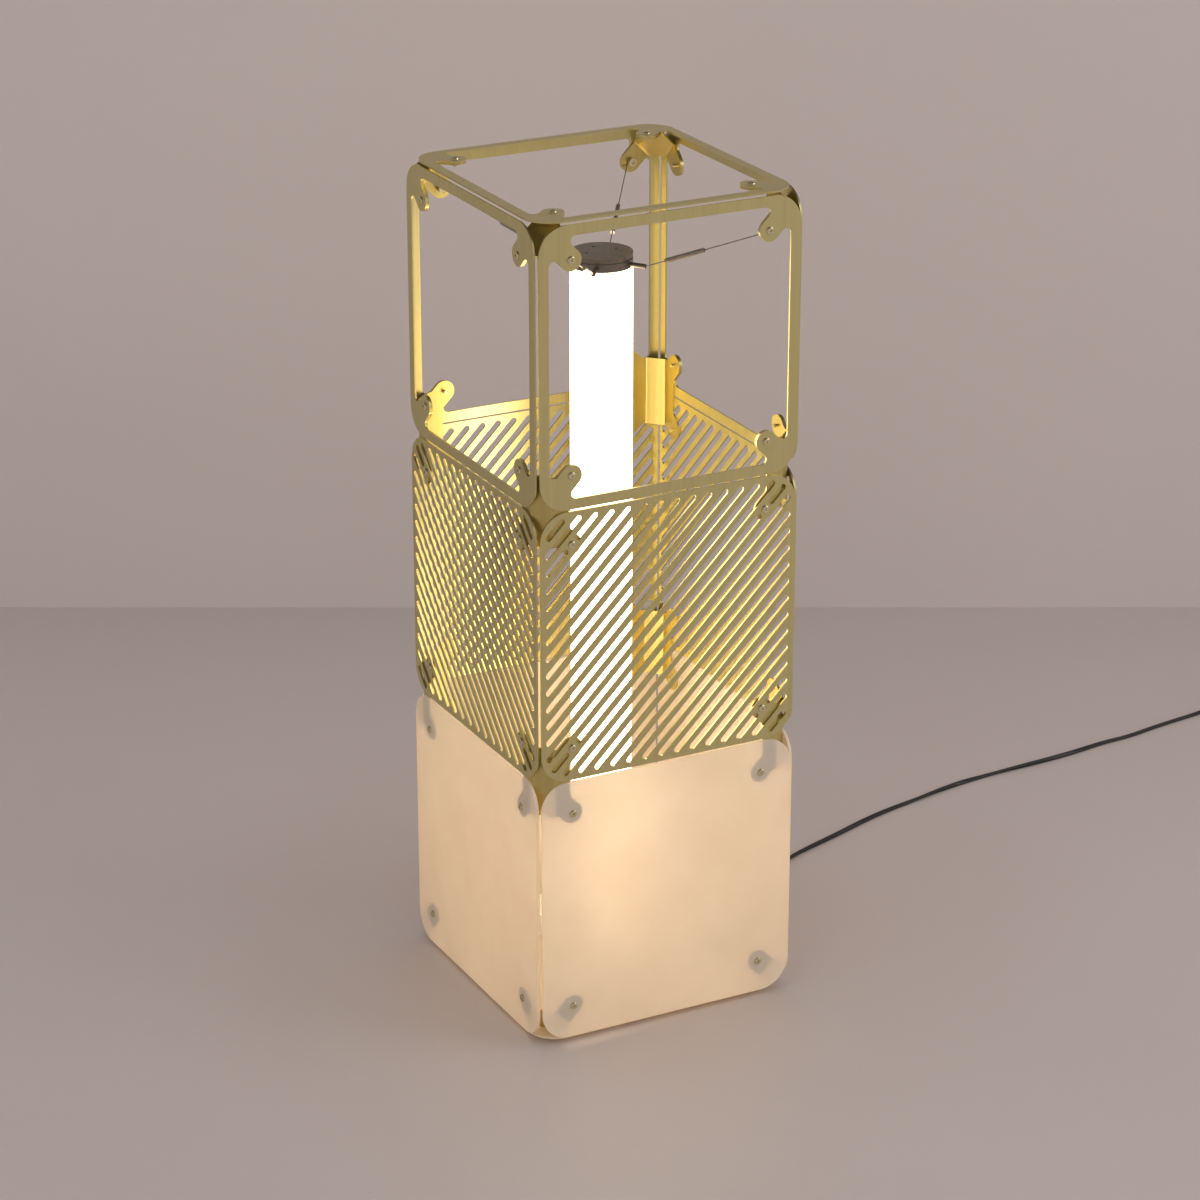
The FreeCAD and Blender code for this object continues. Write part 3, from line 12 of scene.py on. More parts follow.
import bpy
import numpy as np
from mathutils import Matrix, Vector


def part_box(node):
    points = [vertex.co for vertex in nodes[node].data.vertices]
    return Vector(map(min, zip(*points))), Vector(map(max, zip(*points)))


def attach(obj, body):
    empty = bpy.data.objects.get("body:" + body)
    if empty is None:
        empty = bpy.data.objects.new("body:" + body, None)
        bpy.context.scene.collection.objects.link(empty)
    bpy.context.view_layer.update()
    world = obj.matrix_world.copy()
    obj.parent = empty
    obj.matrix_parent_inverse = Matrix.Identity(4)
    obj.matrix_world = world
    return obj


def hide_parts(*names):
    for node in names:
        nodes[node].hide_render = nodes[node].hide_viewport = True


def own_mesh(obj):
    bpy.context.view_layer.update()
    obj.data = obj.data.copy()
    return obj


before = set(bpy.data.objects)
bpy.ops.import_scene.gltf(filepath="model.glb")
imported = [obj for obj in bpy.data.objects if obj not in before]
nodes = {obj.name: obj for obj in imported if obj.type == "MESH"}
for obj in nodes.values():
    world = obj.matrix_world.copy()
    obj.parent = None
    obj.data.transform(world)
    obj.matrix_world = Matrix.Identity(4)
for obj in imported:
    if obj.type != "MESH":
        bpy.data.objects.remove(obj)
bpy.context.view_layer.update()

# %% [markdown]
# ## The camera
#
# A product picture of a tall object is usually taken from a little above, with a long lens, so that upright
# edges stay nearly parallel. The place and the direction here were fitted to corners of the lamp whose sizes
# are known. A long lens can be had in Blender by moving back and raising the focal length. Depth of field
# stays off, so that every plate is sharp.

# %% Make the camera
LENS_MM, SENSOR_MM = 111.3, 36.0
EYE = Vector((-1.6795, -3.2300, 1.8837))
LOOK = Vector((0.4280, 0.8239, -0.3715))

camera_data = bpy.data.cameras.new("camera")
camera_data.lens, camera_data.sensor_width = LENS_MM, SENSOR_MM
camera = bpy.data.objects.new("camera", camera_data)
camera.location = EYE
camera.rotation_euler = LOOK.to_track_quat("-Z", "Y").to_euler()
bpy.context.scene.collection.objects.link(camera)
bpy.context.scene.camera = camera
print("the camera looks down by", round(math.degrees(-math.asin(LOOK.normalized().z)), 1), "degrees")

# %% [markdown]
# ## The cord's route
#
# The lamp has a flat two-core flex, 5.5 mm wide, that leaves a moulded gland low in the right-hand panel,
# drops to the floor and wanders off. It runs through a foot switch and ends, put away in a neat coil, in its
# plug. A cord is best drawn as one smooth curve through few given points. A NURBS spline of order 3
# gives that: it is pulled towards its points and never kinks. Its order and its end points are set after the
# points are in, because Blender lowers them while the spline is empty.

# %% Choose the route's points
MM = 0.001
GLAND_TIP = (177, 62, 22)
FLOOR_RUN = ((195, 62, 22), (222, 70, 15), (248, 85, 7), (273, 101, 3.2), (296, 115, 3), (318, 128, 3),
             (357, 141.5, 3), (399, 155.5, 3), (441, 172, 3), (483, 185, 3), (525, 194.5, 3), (566, 203, 3),
             (605, 210.5, 3), (643, 215.5, 3), (680, 216, 3), (716, 217.2, 3), (752, 219.5, 3),
             (790, 224.5, 3), (828, 231, 3), (864, 232, 3), (904, 240, 3), (944, 246, 3), (984, 251, 3))
SWITCH_CENTRE, SWITCH_TURN, SWITCH_ENTRY = np.array([1078.0, 252.0]), -5.0, 4.2
ALONG_SWITCH = (-64, -38, 38, 62)
LEAD_RUN = ((1164.2, 237.7, 3), (1181.5, 224.2, 3))


def switch_points():
    """The switch's centre plus each distance along its turned length, at the height where the cord enters."""
    turn = math.radians(SWITCH_TURN)
    ahead = np.array([math.cos(turn), math.sin(turn)])
    return [(*(SWITCH_CENTRE + ahead * far), SWITCH_ENTRY) for far in ALONG_SWITCH]


route = [GLAND_TIP, *FLOOR_RUN, *switch_points(), *LEAD_RUN]
print(len(route), "points from the gland to the coil")

# %% [markdown]
# ## The coil
#
# The spare length is wound as for storage, in two layers: inwards on the floor, up a layer at the middle and
# outwards again above. A loop works out twelve points for each turn. A spline of order 3 passes a little
# inside its points, by the cosine of half a step, so the points stand outwards by as much.

# %% Wind the coil
CORD_WIDTH = 5.5
COIL_INNER, COIL_STEP, COIL_QUARTERS = 22.0, 6.1, 21
LAYER_RISE, CLIMB_START, CLIMB_QUARTERS = 6.0, 9.5, 2.0
POINTS_A_TURN = 12
QUARTER_TURN = math.radians(90)

route_floor = route[-1][2]
ahead = np.array(route[-1])[:2] - np.array(route[-2])[:2]
ahead /= np.linalg.norm(ahead)
begin = np.array(route[-1])[:2] + ahead * CORD_WIDTH
right = np.array([ahead[1], -ahead[0]])
coil_centre = begin + right * (COIL_INNER + COIL_STEP * COIL_QUARTERS / 8)


def turned_left(arrow, angle):
    """A flat arrow turned by an angle: x cos a - y sin a, and x sin a + y cos a."""
    return np.array([arrow[0] * math.cos(angle) - arrow[1] * math.sin(angle),
                     arrow[0] * math.sin(angle) + arrow[1] * math.cos(angle)])


def smooth_step(x):
    """0 below 0, 1 above 1, and a curve with level ends between."""
    x = np.clip(x, 0, 1)
    return x * x * (3 - 2 * x)


def coil_point(quarter, outwards=1.0):
    """A clockwise spiral: the radius shrinks to the middle turn and grows again, and the height climbs by a
    smooth step there. quarter counts quarter turns from the coil's beginning."""
    radius = COIL_INNER + COIL_STEP * abs(quarter - COIL_QUARTERS / 2) / 4
    spot = coil_centre + turned_left(-right * radius * outwards, -QUARTER_TURN * quarter)
    climb = smooth_step((quarter - CLIMB_START) / CLIMB_QUARTERS)
    return (*spot, route_floor + LAYER_RISE * climb)


stand_off = 1 / math.cos(math.pi / POINTS_A_TURN)
steps = COIL_QUARTERS * POINTS_A_TURN // 4
coil = [coil_point(step * 4 / POINTS_A_TURN, stand_off) for step in range(1, steps)]
out_of_coil = turned_left(ahead, -QUARTER_TURN * COIL_QUARTERS)
coil_end = coil_point(COIL_QUARTERS)
plug_mouth = (*(np.array(coil_end[:2]) + out_of_coil * CORD_WIDTH), coil_end[2])
route += [(*begin, route_floor), *coil, coil_end, plug_mouth]
print(len(route), "points in all, the plug begins at", np.round(plug_mouth, 1).tolist())

# %% Draw the spline and read its points
curve_data = bpy.data.curves.new("cord_route", "CURVE")
curve_data.dimensions = "3D"
spline = curve_data.splines.new("NURBS")
spline.points.add(len(route) - 1)
spline.points.foreach_set("co", np.c_[np.array(route) * MM, np.ones(len(route))].ravel())
spline.order_u = 3
spline.use_endpoint_u = True
spline.resolution_u = 12
curve = bpy.data.objects.new("cord_route", curve_data)
bpy.context.scene.collection.objects.link(curve)
bpy.context.view_layer.update()
drawn = bpy.data.meshes.new_from_object(curve)
line = np.zeros(len(drawn.vertices) * 3)
drawn.vertices.foreach_get("co", line)
line = line.reshape(-1, 3)
bpy.data.objects.remove(curve)
print("the spline is", round(float(np.linalg.norm(np.diff(line, axis=0), axis=1).sum()), 3), "m long")

# %% [markdown]
# ## A mesh helper
#
# Each new piece here is one grid of points, worked out as whole numpy arrays: rows run along the piece and
# columns run round it. One function turns such a grid into a mesh. Its quads come from one index array, so
# there is no loop over vertices. The columns wrap round, and a flat face closes each end.

# %% Turn a grid of points into a mesh
def grid_mesh(name, points):
    """Quads between neighbours of a (rows, columns, 3) grid whose columns wrap, and a flat face on the first
    and on the last row. Faces look outwards where columns turn left about the rows' direction."""
    rows, columns = points.shape[:2]
    index = np.arange(rows * columns).reshape(rows, columns)
    beside = np.roll(index, -1, axis=1)
    quads = np.stack([index[:-1], beside[:-1], beside[1:], index[1:]], axis=-1).reshape(-1, 4)
    faces = [*quads.tolist(), index[0, ::-1].tolist(), index[-1].tolist()]
    mesh = bpy.data.meshes.new(name)
    mesh.from_pydata(points.reshape(-1, 3).tolist(), [], faces)
    mesh.polygons.foreach_set("use_smooth", np.ones(len(faces), bool))
    mesh.update()
    return mesh


def new_piece(name, points):
    """An object at the origin that holds the grid's mesh and rides on the lamp's fixed body."""
    piece = bpy.data.objects.new(name, grid_mesh(name, points))
    bpy.context.scene.collection.objects.link(piece)
    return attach(piece, "lamp")


# %% [markdown]
# ## The flat flex
#
# A flat flex is two cores side by side in one jacket, so its section is a wide oval with a shallow groove. It
# doesn't lie quite flat: unrolled from a coil it keeps a slow twist, which shows as a cord that grows wide
# and narrow along the floor. Here the section is carried along the spline and rolled by a chosen angle at a
# few marks. Where it lies on the floor its centre sinks to its own half height, so that it always touches.

# %% Give the cord its section and its twist
CORD_THICK, CORD_LENGTH = 3.6, 2046
GROOVE, GROOVE_SHARPNESS = 0.16, 8
RING_GAP, RING_POINTS = 2.5, 28
# Distance along the cord in millimetres, and how far the flat has rolled clockwise there in degrees
ROLL_MARKS = ((0, 0), (60, 0), (205, 90), (363, 180), (430, 270), (487, 360), (560, 450), (700, 540),
              (975, 540), (1050, 630), (2060, 630))
# Above the floor the cord keeps its spline's height; this many millimetres lie between
LIFT_FADE = 2.0


def even_steps(points, gap):
    """Points at equal distances along a line, by linear interpolation of each coordinate over its length."""
    gone = np.r_[0, np.cumsum(np.linalg.norm(np.diff(points, axis=0), axis=1))]
    wanted = np.linspace(0, gone[-1], round(gone[-1] / gap) + 1)
    return np.stack([np.interp(wanted, gone, points[:, axis]) for axis in range(3)], axis=1), wanted


angle = np.linspace(0, 2 * math.pi, RING_POINTS, endpoint=False)
lobes = np.sin(angle) * (1 - GROOVE * np.abs(np.sin(angle)) ** GROOVE_SHARPNESS)
across = CORD_WIDTH / 2 * MM * np.cos(angle)
up = CORD_THICK / 2 * MM * lobes / np.abs(lobes).max()

centres, distance = even_steps(line, RING_GAP * MM)
roll = -np.radians(np.interp(distance / MM, *zip(*ROLL_MARKS)))[:, None]
half_height = (across * np.sin(roll) + up * np.cos(roll)).max(axis=1)
on_floor = 1 - smooth_step((centres[:, 2] / MM - route_floor) / LIFT_FADE)
centres[:, 2] += on_floor * (half_height - route_floor * MM)

tangent = np.gradient(centres, axis=0)
tangent /= np.linalg.norm(tangent, axis=1)[:, None]
side = np.cross((0, 0, 1), tangent)
side /= np.linalg.norm(side, axis=1)[:, None]
over = np.cross(tangent, side)
wide_way = side * np.cos(roll) + over * np.sin(roll)
thick_way = over * np.cos(roll) - side * np.sin(roll)
rings = centres[:, None] + across[:, None] * wide_way[:, None] + up[:, None] * thick_way[:, None]
print(len(centres), "rings,", round(float(distance[-1]), 3), "m of flex")

# %% Build the cord and say what it is
cord = new_piece("flat_flex", rings)
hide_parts("cord_free", "cord_lead", "cord_coil")
print("the flex stands for three plain CAD tubes")

# %% [markdown]
# ## The strain relief
#
# Where a mains cord leaves a housing it runs in a soft tapered sleeve, so that it can't be bent sharply at
# the wall. A moulded sleeve has a collar against the panel and rings with gaps between, which let it flex.
# It is a turned shape: one profile, given as radius over length, is carried round the cord's line.

# %% Turn the strain relief
RELIEF_RINGS, RING_DEPTH, GAP_SHARPNESS = 6, 0.16, 1.6
# Shares of the sleeve's length: the plain collar, the plain tip's start, and the taper's start and speed
COLLAR_SHARE, TIP_FROM, TAPER_FROM, TAPER_SPEED = 0.16, 0.97, 0.05, 0.9
RELIEF_ROWS, RELIEF_COLUMNS = 120, 48
# The tip's radius as a share of the cord's width
TIP_RADIUS = 0.72
relief_low, relief_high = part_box("cord_gland")
RELIEF_BASE, RELIEF_TIP = (relief_high.z - relief_low.z) / 2, CORD_WIDTH * MM * TIP_RADIUS


def relief_radius(t):
    """A smooth taper from the base to the tip, with a plain collar first, and from there on rings whose gaps
    are as deep as a share of the radius, with rounded edges by a clipped cosine."""
    waves = np.cos((t - COLLAR_SHARE) / (1 - COLLAR_SHARE) * RELIEF_RINGS * 2 * math.pi)
    gaps = smooth_step(-waves * GAP_SHARPNESS) * (t > COLLAR_SHARE) * (t < TIP_FROM)
    taper = RELIEF_BASE + (RELIEF_TIP - RELIEF_BASE) * smooth_step(t * TAPER_SPEED + TAPER_FROM)
    return taper * (1 - RING_DEPTH * gaps)


def turned_along_x(radii, places, centre_y, centre_z):
    """Circles of the given radii at the given places along X, about a line through a y and a z."""
    turn = np.linspace(0, 2 * math.pi, RELIEF_COLUMNS, endpoint=False)
    y = centre_y + radii[:, None] * np.cos(turn)
    z = centre_z + radii[:, None] * np.sin(turn)
    return np.stack([np.broadcast_to(places[:, None], y.shape), y, z], axis=-1)


share = np.linspace(0, 1, RELIEF_ROWS)
relief_places = relief_low.x + (relief_high.x - relief_low.x) * share
relief = new_piece("strain_relief", turned_along_x(relief_radius(share), relief_places,
                                                   GLAND_TIP[1] * MM, GLAND_TIP[2] * MM))
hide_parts("cord_gland")
print("the sleeve is", round((relief_high.x - relief_low.x) / MM, 1), "mm long")

# %% [markdown]
# ## The button's spring
#
# Under the foot switch's button stands a small coiled spring of nickel-plated wire. It shortens when the
# button goes down, and a stiff model of it would run into the button. It shortens when the button goes
# down; here it is drawn as one fixed coil in the box of the CAD spring.

# %% Coil the spring
SPRING_TURNS, SPRING_WIRE, BUTTON_TRAVEL = 5, 1.0, 2.5
SPRING_RINGS, WIRE_POINTS = 200, 12
spring_low, spring_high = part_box("switch_spring")


def coiled_wire(low, high, wire):
    """A helix in the box from low to high: the angle and the height grow evenly, and round each of its points
    lies a circle whose plane is square to the helix."""
    middle, radius = (low + high) / 2, (high.y - low.y - wire) / 2
    turn = np.linspace(0, 2 * math.pi * SPRING_TURNS, SPRING_RINGS)
    rise = (high.z - low.z - wire) / turn[-1]
    outwards = np.stack([np.cos(turn), np.sin(turn), 0 * turn], axis=1)
    along = np.stack([-radius * np.sin(turn), radius * np.cos(turn), 0 * turn + rise], axis=1)
    along /= np.linalg.norm(along, axis=1)[:, None]
    points = np.array([middle.x, middle.y, low.z + wire / 2]) + radius * outwards
    points[:, 2] += rise * turn
    around = np.linspace(0, 2 * math.pi, WIRE_POINTS, endpoint=False)[None, :, None]
    upwards = np.cross(along, outwards)
    ring = np.cos(around) * outwards[:, None] + np.sin(around) * upwards[:, None]
    return points[:, None] + wire / 2 * ring


spring = new_piece("button_spring", coiled_wire(spring_low, spring_high, SPRING_WIRE * MM))
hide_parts("switch_spring")
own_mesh(spring)

# %% [markdown]
# ## Colours and nodes
#
# A finish starts from what the real surface is. Its colours are written as the hex codes that a painter
# would pick, and Blender wants them linear, so one function turns them. Another adds any shader node with its
# settings and links, so that each finish below reads as a short recipe.

# %% Make the helpers for finishes
# Noise seldom leaves this part of 0 to 1, so a pattern is spread over it
NOISE_LOW, NOISE_HIGH = 0.3, 0.7


def linear(code):
    """A "#rrggbb" code as linear light: ((c + 0.055) / 1.055) to the power 2.4, or c / 12.92 near black."""
    channels = [int(code[start:start + 2], 16) / 255 for start in (1, 3, 5)]
    return (*[((c + 0.055) / 1.055) ** 2.4 if c > 0.04045 else c / 12.92 for c in channels], 1)


def add(material, kind, inputs=None, **settings):
    """Adds one node. A setting is an option of the node, and an input is a value or an output to link."""
    tree = material.node_tree
    added = tree.nodes.new("ShaderNode" + kind)
    for name, value in settings.items():
        setattr(added, name, value)
    for name, value in (inputs or {}).items():
        if isinstance(value, bpy.types.NodeSocket):
            tree.links.new(value, added.inputs[name])
        else:
            added.inputs[name].default_value = value
    return added.outputs


def new_finish(name):
    """An empty material that is drawn by its nodes."""
    material = bpy.data.materials.new(name)
    material.use_nodes = True
    material.node_tree.nodes.clear()
    return material


def grain(material, width, length=None, direction="Z"):
    """Noise between 0 and 1 with spots of a width in millimetres, drawn out to a length in one direction."""
    spots = [width * MM] * 3
    spots["XYZ".index(direction)] = (length or width) * MM
    place = add(material, "TexCoord")["Object"]
    scaled = add(material, "Mapping", {"Vector": place, "Scale": [1 / spot for spot in spots]})["Vector"]
    return add(material, "TexNoise", {"Vector": scaled, "Scale": 1.0, "Detail": 3.0})["Fac"]


def between(material, fac, low, high):
    """A number from low to high, or a colour from one code to another, as the noise fac grows."""
    fac = add(material, "MapRange", {"Value": fac, "From Min": NOISE_LOW, "From Max": NOISE_HIGH})["Result"]
    if isinstance(low, str):
        return add(material, "MixRGB", {"Fac": fac, "Color1": linear(low), "Color2": linear(high)})["Color"]
    return add(material, "MapRange", {"Value": fac, "To Min": low, "To Max": high})["Result"]


print("a mid grey in linear light is", round(linear("#808080")[0], 3))

# %% [markdown]
# ## Brushed brass-tone sheet
#
# The plates and brackets are aluminium sheet, brushed in one direction and anodised in a pale greenish gold.
# To the eye that is a metal with no mirror image, only soft light, broken by fine straight lines along the
# brushing. Real lines are a few tenths of a millimetre apart, too fine to show from this far, so they are
# drawn about 2 mm apart, with broader streaks over them. Upright plates are brushed upright. The top plate is
# brushed from side to side, so the finish is made for either direction. The folded brackets get a copy a tone
# deeper, which is painted shade for the corners and joints where they sit.

# %% Make the brushed metal
LINE_WIDTH, LINE_LENGTH, LINE_DEPTH = 1.6, 160.0, 0.006
STREAK_WIDTH, STREAK_LENGTH = 7.0, 420.0
BRUSHED_ROUGHNESS = 0.29, 0.38


def brushed_brass(name, direction, dark, light):
    """Anodised gold aluminium: lines and streaks change its tone a little, and lines its gloss."""
    material = new_finish(name)
    lines = grain(material, LINE_WIDTH, LINE_LENGTH, direction)
    streaks = grain(material, STREAK_WIDTH, STREAK_LENGTH, direction)
    both = add(material, "Math", {0: lines, 1: streaks}, operation="ADD")["Value"]
    half = add(material, "Math", {0: both, 1: 0.5}, operation="MULTIPLY")["Value"]
    bump = add(material, "Bump", {"Height": lines, "Distance": LINE_DEPTH * MM, "Strength": 1.0})["Normal"]
    surface = add(material, "BsdfPrincipled", {
        "Base Color": between(material, half, dark, light), "Metallic": 1.0,
        "Roughness": between(material, lines, *BRUSHED_ROUGHNESS), "Normal": bump})["BSDF"]
    add(material, "OutputMaterial", {"Surface": surface})
    return material


upright_brass = brushed_brass("brushed_brass_upright", "Z", "#d2c68c", "#dcd199")
level_brass = brushed_brass("brushed_brass_level", "X", "#d2c68c", "#dcd199")
# The brackets' copy is a tone deeper: painted shade for the corners and joints where they sit
bracket_brass_painted_shade = brushed_brass("brushed_brass_painted_shade", "Z", "#ccb972", "#d8c782")
print("brushed brass is made for two directions and in a deeper tone")

# %% [markdown]
# ## Opal acrylic
#
# The lower panels are cast acrylic with a white pigment and a satin face. Light from the tube soaks through
# and comes out soft, while the face also catches the room's light. A mix of a plastic shader and a
# translucent one does both. A part of the light keeps its direction, so the sheet is brightest in front of
# the tube. The face also glows a little by itself everywhere, warmer, also in front of the brackets: a
# painted glow that stands in for light carried inside the sheet. Pigment never settles quite evenly, so the
# body has very slow clouds in it. The light tube is an extrusion of the same plastic, and light fills it so
# evenly that its whole wall can simply glow.

# %% Make the opal sheet and the lit tube
# The face's emission is a painted glow, warm and even, for light carried inside the sheet
PANEL_SHOWS_THROUGH, KEEPS_DIRECTION, PAINTED_GLOW_STRENGTH = 0.58, 0.76, 0.2
GLOW, PAINTED_GLOW_COLOUR = (1.0, 0.84, 0.57, 1), (1.0, 0.7, 0.36, 1)
TUBE_STRENGTH = 5.0
ACRYLIC_IOR = 1.49
CLOUDS, SATIN_SPOTS, SATIN_DEPTH = 60.0, 0.9, 0.006
SATIN_ROUGHNESS, BODY_ROUGHNESS = (0.36, 0.46), 0.66
TUBE_CLOUDS, TUBE_STREAKS, TUBE_ROUGHNESS = 40.0, 300.0, (0.3, 0.4)


def opal_sheet():
    """A face of plastic over a body that lets light through, partly scattered and partly straight on."""
    material = new_finish("opal_acrylic_satin")
    clouds, satin = grain(material, CLOUDS), grain(material, SATIN_SPOTS)
    body = between(material, clouds, "#ebe1d3", "#f0e7db")
    bump = add(material, "Bump", {"Height": satin, "Distance": SATIN_DEPTH * MM, "Strength": 1.0})["Normal"]
    # The face glows a little by itself: painted light for light carried inside the sheet
    face = add(material, "BsdfPrincipled", {
        "Base Color": body, "IOR": ACRYLIC_IOR, "Roughness": between(material, satin, *SATIN_ROUGHNESS),
        "Normal": bump, "Emission Color": PAINTED_GLOW_COLOUR, "Emission Strength": PAINTED_GLOW_STRENGTH})["BSDF"]
    soft = add(material, "BsdfTranslucent", {"Color": body})["BSDF"]
    straight = add(material, "BsdfGlass", {"Color": body, "Roughness": BODY_ROUGHNESS,
                                           "IOR": ACRYLIC_IOR})["BSDF"]
    through = add(material, "MixShader", {"Fac": KEEPS_DIRECTION, 1: soft, 2: straight})["Shader"]
    mixed = add(material, "MixShader", {"Fac": PANEL_SHOWS_THROUGH, 1: face, 2: through})["Shader"]
    add(material, "OutputMaterial", {"Surface": mixed})
    return material


def lit_tube():
    """Opal extrusion that glows warm white: brighter than any surface round it, so it reads as white."""
    material = new_finish("opal_tube_lit")
    clouds = grain(material, TUBE_CLOUDS, TUBE_STREAKS)
    surface = add(material, "BsdfPrincipled", {
        "Base Color": between(material, clouds, "#efe9df", "#f7f3ea"), "IOR": ACRYLIC_IOR,
        "Roughness": between(material, clouds, *TUBE_ROUGHNESS),
        "Emission Color": GLOW, "Emission Strength": TUBE_STRENGTH})["BSDF"]
    add(material, "OutputMaterial", {"Surface": surface})
    return material


print("the tube glows at", TUBE_STRENGTH, "times white")

# %% [markdown]
# ## The other finishes
#
# The rest are single substances, each named for what it is. One recipe serves them all: a slow change of
# colour, as from mixing or handling, and a fine tooth in gloss and bump, as from the tool that shaped them.
# Metals keep Blender's default IOR. Plastics are moulded against spark-eroded steel, which leaves a fine even
# tooth, and rubber is duller still.

# %% Make the other finishes
TONE_SPOTS, ROUGHNESS_CHANGE = 12, 0.06


def plain_surface(name, dark, light, roughness, spot, height, metal=0.0):
    """Tone changes over spots a dozen times as wide as those of the gloss and the bump."""
    material = new_finish(name)
    slow, fine = grain(material, spot * TONE_SPOTS), grain(material, spot)
    bump = add(material, "Bump", {"Height": fine, "Distance": height * MM, "Strength": 1.0})["Normal"]
    surface = add(material, "BsdfPrincipled", {
        "Base Color": between(material, slow, dark, light), "Metallic": metal,
        "Roughness": between(material, fine, roughness - ROUGHNESS_CHANGE, roughness + ROUGHNESS_CHANGE),
        "Normal": bump})["BSDF"]
    add(material, "OutputMaterial", {"Surface": surface})
    return material


FINISHES = {
    "brass_sheet": upright_brass,
    "opal_acrylic": opal_sheet(),
    "opal_tube": lit_tube(),
    # Passivated steel in a warm tint, turned and tumbled: small soft highlights
    "screw_steel": plain_surface("warm_satin_steel", "#d8cfa6", "#e8dfbd", 0.26, 0.5, 0.003, metal=1.0),
    # Anodised nearly black with a brown cast, satin, so its edges show as soft light lines
    "dark_bronze": plain_surface("dark_bronze_anodised", "#7d736a", "#8a8076", 0.36, 0.6, 0.003, metal=0.9),
    # Pressed rubber feet: black without a shine, only a shadow under the lamp
    "foot_rubber": plain_surface("pressed_rubber", "#1d1c1c", "#282726", 0.78, 0.8, 0.03),
    # Extruded and left bare: pale grey with an even, dull gloss
    "bare_aluminium": plain_surface("extruded_aluminium", "#b9b9bb", "#cfcfd0", 0.38, 0.7, 0.006, metal=1.0),
    # Screen-printed lacquer on the light boards: chalky warm white
    "led_board": plain_surface("white_solder_mask", "#e6e4da", "#f0eee6", 0.5, 1.2, 0.01),
    # Moulded ABS in white: a soft sheen that hides the seams of the driver and the terminals
    "white_plastic": plain_surface("white_abs", "#dedcd6", "#ebe9e4", 0.5, 0.7, 0.012),
    # The same plastic in black: a tooth that breaks highlights into a grey haze
    "black_plastic": plain_surface("black_abs_spark_texture", "#141415", "#1d1d1e", 0.48, 0.7, 0.02),
    # Extruded PVC: smoother than the mouldings, so the flex carries one long faint highlight
    "black_cord": plain_surface("black_pvc_flex", "#121213", "#1c1b1c", 0.4, 1.5, 0.01),
    # Bright nickel on the pins and the spring: the only cold, clear shine
    "nickel_pins": plain_surface("nickel_plate", "#cfcdc6", "#dedcd6", 0.2, 0.6, 0.002, metal=1.0),
}
# Stranded steel and the crimped sleeves on it, greyed by handling: thin lines that stay darker than the wall
wire_grey = plain_surface("drawn_steel_wire", "#8d8882", "#a8a29a", 0.3, 0.4, 0.004, metal=0.9)
print(len(FINISHES), "finishes, one for each slot of the record")

# %% Give the finishes out
# Light comes through under the lamp, so its base is an opal sheet too, with the sheet's painted glow
OWN_FINISHES = {"top_frame_plate": level_brass, "base_plate": FINISHES["opal_acrylic"],
                "suspension_wires": wire_grey, "tension_sleeves": wire_grey}
for name, piece in nodes.items():
    slot = piece.material_slots[0]
    by_record = FINISHES[slot.material.name.split(".")[0]]
    slot.material = bracket_brass_painted_shade if "bracket" in name else OWN_FINISHES.get(name, by_record)
for piece, slot_name in ((cord, "black_cord"), (relief, "black_plastic"), (spring, "nickel_pins")):
    piece.data.materials.append(FINISHES[slot_name])
print("finishes on", len(nodes), "nodes and 3 new pieces")

# %% [markdown]
# ## The room
#
# A plain floor and a plain wall, both pale and a little warm, stand for a studio. They are stage, not part of
# the object. The wall stands square to the camera's heading, at a distance along the floor. It hides itself
# from behind, so that the lamp can be looked at from every side.

# %% Build the floor and the wall
ROOM_HALF, WALL_DISTANCE, WALL_HEIGHT = 6.0, 4.68, 1.15
PAINT_CLOUDS = 900.0


def flat_stage(name, corners, material):
    """One four-cornered face that belongs to the stage."""
    mesh = bpy.data.meshes.new(name)
    mesh.from_pydata(corners, [], [(0, 1, 2, 3)])
    mesh.materials.append(material)
    piece = bpy.data.objects.new(name, mesh)
    bpy.context.scene.collection.objects.link(piece)
    return piece


def painted(name, dark, light, roughness, one_sided=False):
    """Matt paint with slow clouds; a one-sided face can't be seen from its back."""
    material = new_finish(name)
    body = between(material, grain(material, PAINT_CLOUDS), dark, light)
    surface = add(material, "BsdfPrincipled", {"Base Color": body, "Roughness": roughness})["BSDF"]
    if one_sided:
        clear = add(material, "BsdfTransparent")["BSDF"]
        behind = add(material, "NewGeometry")["Backfacing"]
        surface = add(material, "MixShader", {"Fac": behind, 1: surface, 2: clear})["Shader"]
    add(material, "OutputMaterial", {"Surface": surface})
    return material


floor_corners = [(-ROOM_HALF, -ROOM_HALF, 0), (ROOM_HALF, -ROOM_HALF, 0), (ROOM_HALF, ROOM_HALF, 0),
                 (-ROOM_HALF, ROOM_HALF, 0)]
flat_stage("floor", floor_corners, painted("floor_paint", "#aa9d98", "#aea29d", 0.42))
heading = Vector((LOOK.x, LOOK.y, 0)).normalized()
wall_foot = Vector((EYE.x, EYE.y, 0)) + heading * WALL_DISTANCE
wall_side, wall_top = Vector((heading.y, -heading.x, 0)) * ROOM_HALF, Vector((0, 0, WALL_HEIGHT))
wall_corners = [wall_foot - wall_side, wall_foot + wall_side, wall_foot + wall_side + wall_top,
                wall_foot - wall_side + wall_top]
flat_stage("wall", wall_corners, painted("wall_paint", "#bdb1ac", "#c1b5b0", 0.8, one_sided=True))
print("the room is", 2 * ROOM_HALF, "m wide")

# %% [markdown]
# ## Light
#
# The room light is soft and even: a white world at a strength near 1 makes a colour come out about as it is
# written. What the camera and mirrors see beyond the wall is the wall's own colour, and higher up a dim
# ceiling, which gives upward-facing metal its darker tones. A big soft lamp to the right and in front makes
# the right faces a little brighter than the left ones. The tube does the rest.

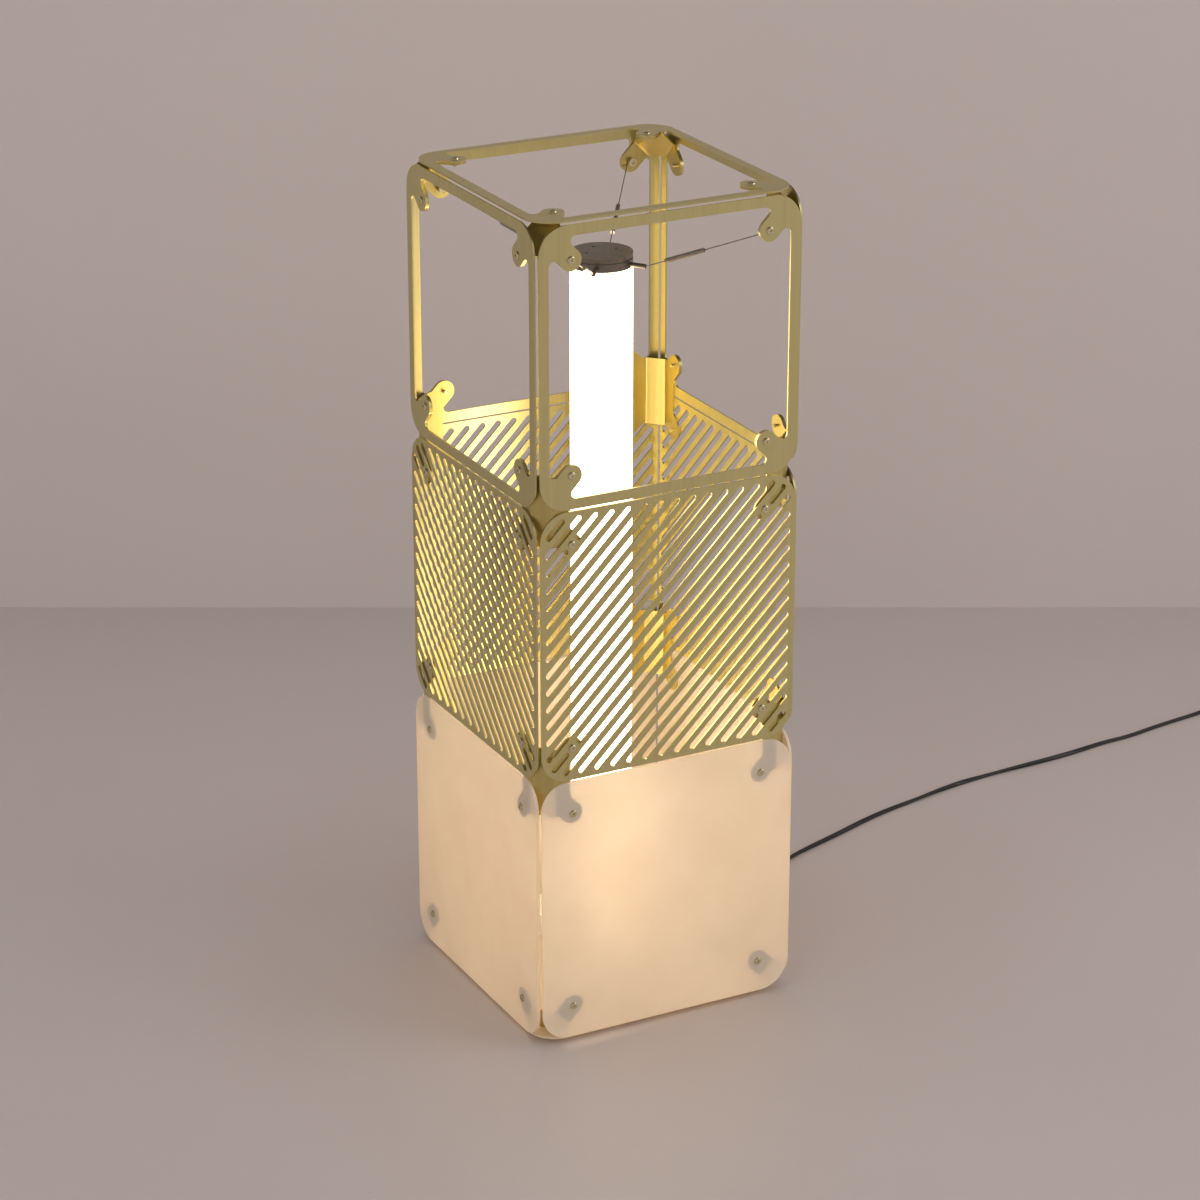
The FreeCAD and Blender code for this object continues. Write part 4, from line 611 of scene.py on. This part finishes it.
# %% Light the scene
SKY_STRENGTH, BEYOND, CEILING = 0.98, "#b8aca7", "#3c342d"
# How steeply a ray has to rise to meet the ceiling's edge and its middle, as the sine of its angle
CEILING_STARTS, CEILING_FULL = 0.2, 0.7
world = bpy.data.worlds.new("studio")
world.use_nodes = True
world.node_tree.nodes.clear()
ray = add(world, "LightPath")
seen = add(world, "Math", {0: ray["Is Camera Ray"], 1: ray["Is Glossy Ray"]}, operation="MAXIMUM")["Value"]
seen = add(world, "Math", {0: seen, 1: ray["Is Transmission Ray"]}, operation="MAXIMUM")["Value"]
sky = add(world, "Background", {"Color": (1, 1, 1, 1), "Strength": SKY_STRENGTH})["Background"]
height = add(world, "SeparateXYZ", {"Vector": add(world, "TexCoord")["Generated"]})["Z"]
ceiling = add(world, "MapRange", {"Value": height, "From Min": CEILING_STARTS,
                                  "From Max": CEILING_FULL})["Result"]
colour = add(world, "MixRGB", {"Fac": ceiling, "Color1": linear(BEYOND), "Color2": linear(CEILING)})["Color"]
beyond = add(world, "Background", {"Color": colour, "Strength": 1.0})["Background"]
add(world, "OutputWorld", {"Surface": add(world, "MixShader", {"Fac": seen, 1: sky, 2: beyond})["Shader"]})
bpy.context.scene.world = world
bpy.context.scene.view_settings.view_transform = "Standard"


def soft_lamp(name, place, aim, size_m, radiance):
    """A square lamp that looks equally bright from everywhere: its watts are radiance times pi times area."""
    data = bpy.data.lights.new(name, "AREA")
    data.size = size_m
    data.energy = radiance * math.pi * size_m ** 2
    lamp = bpy.data.objects.new(name, data)
    lamp.location = place
    lamp.rotation_euler = (Vector(aim) - Vector(place)).to_track_quat("-Z", "Y").to_euler()
    lamp.visible_camera = False
    bpy.context.scene.collection.objects.link(lamp)
    return lamp


KEY_PLACE, KEY_AIM, KEY_SIZE, KEY_RADIANCE = (2.8, -2.2, 2.0), (0.4, 0, 0.2), 2.0, 2.4
key = soft_lamp("key", KEY_PLACE, KEY_AIM, KEY_SIZE, KEY_RADIANCE)
print("lit by the sky, by the", key.name, "lamp of", round(key.data.energy, 1), "W and by the tube")
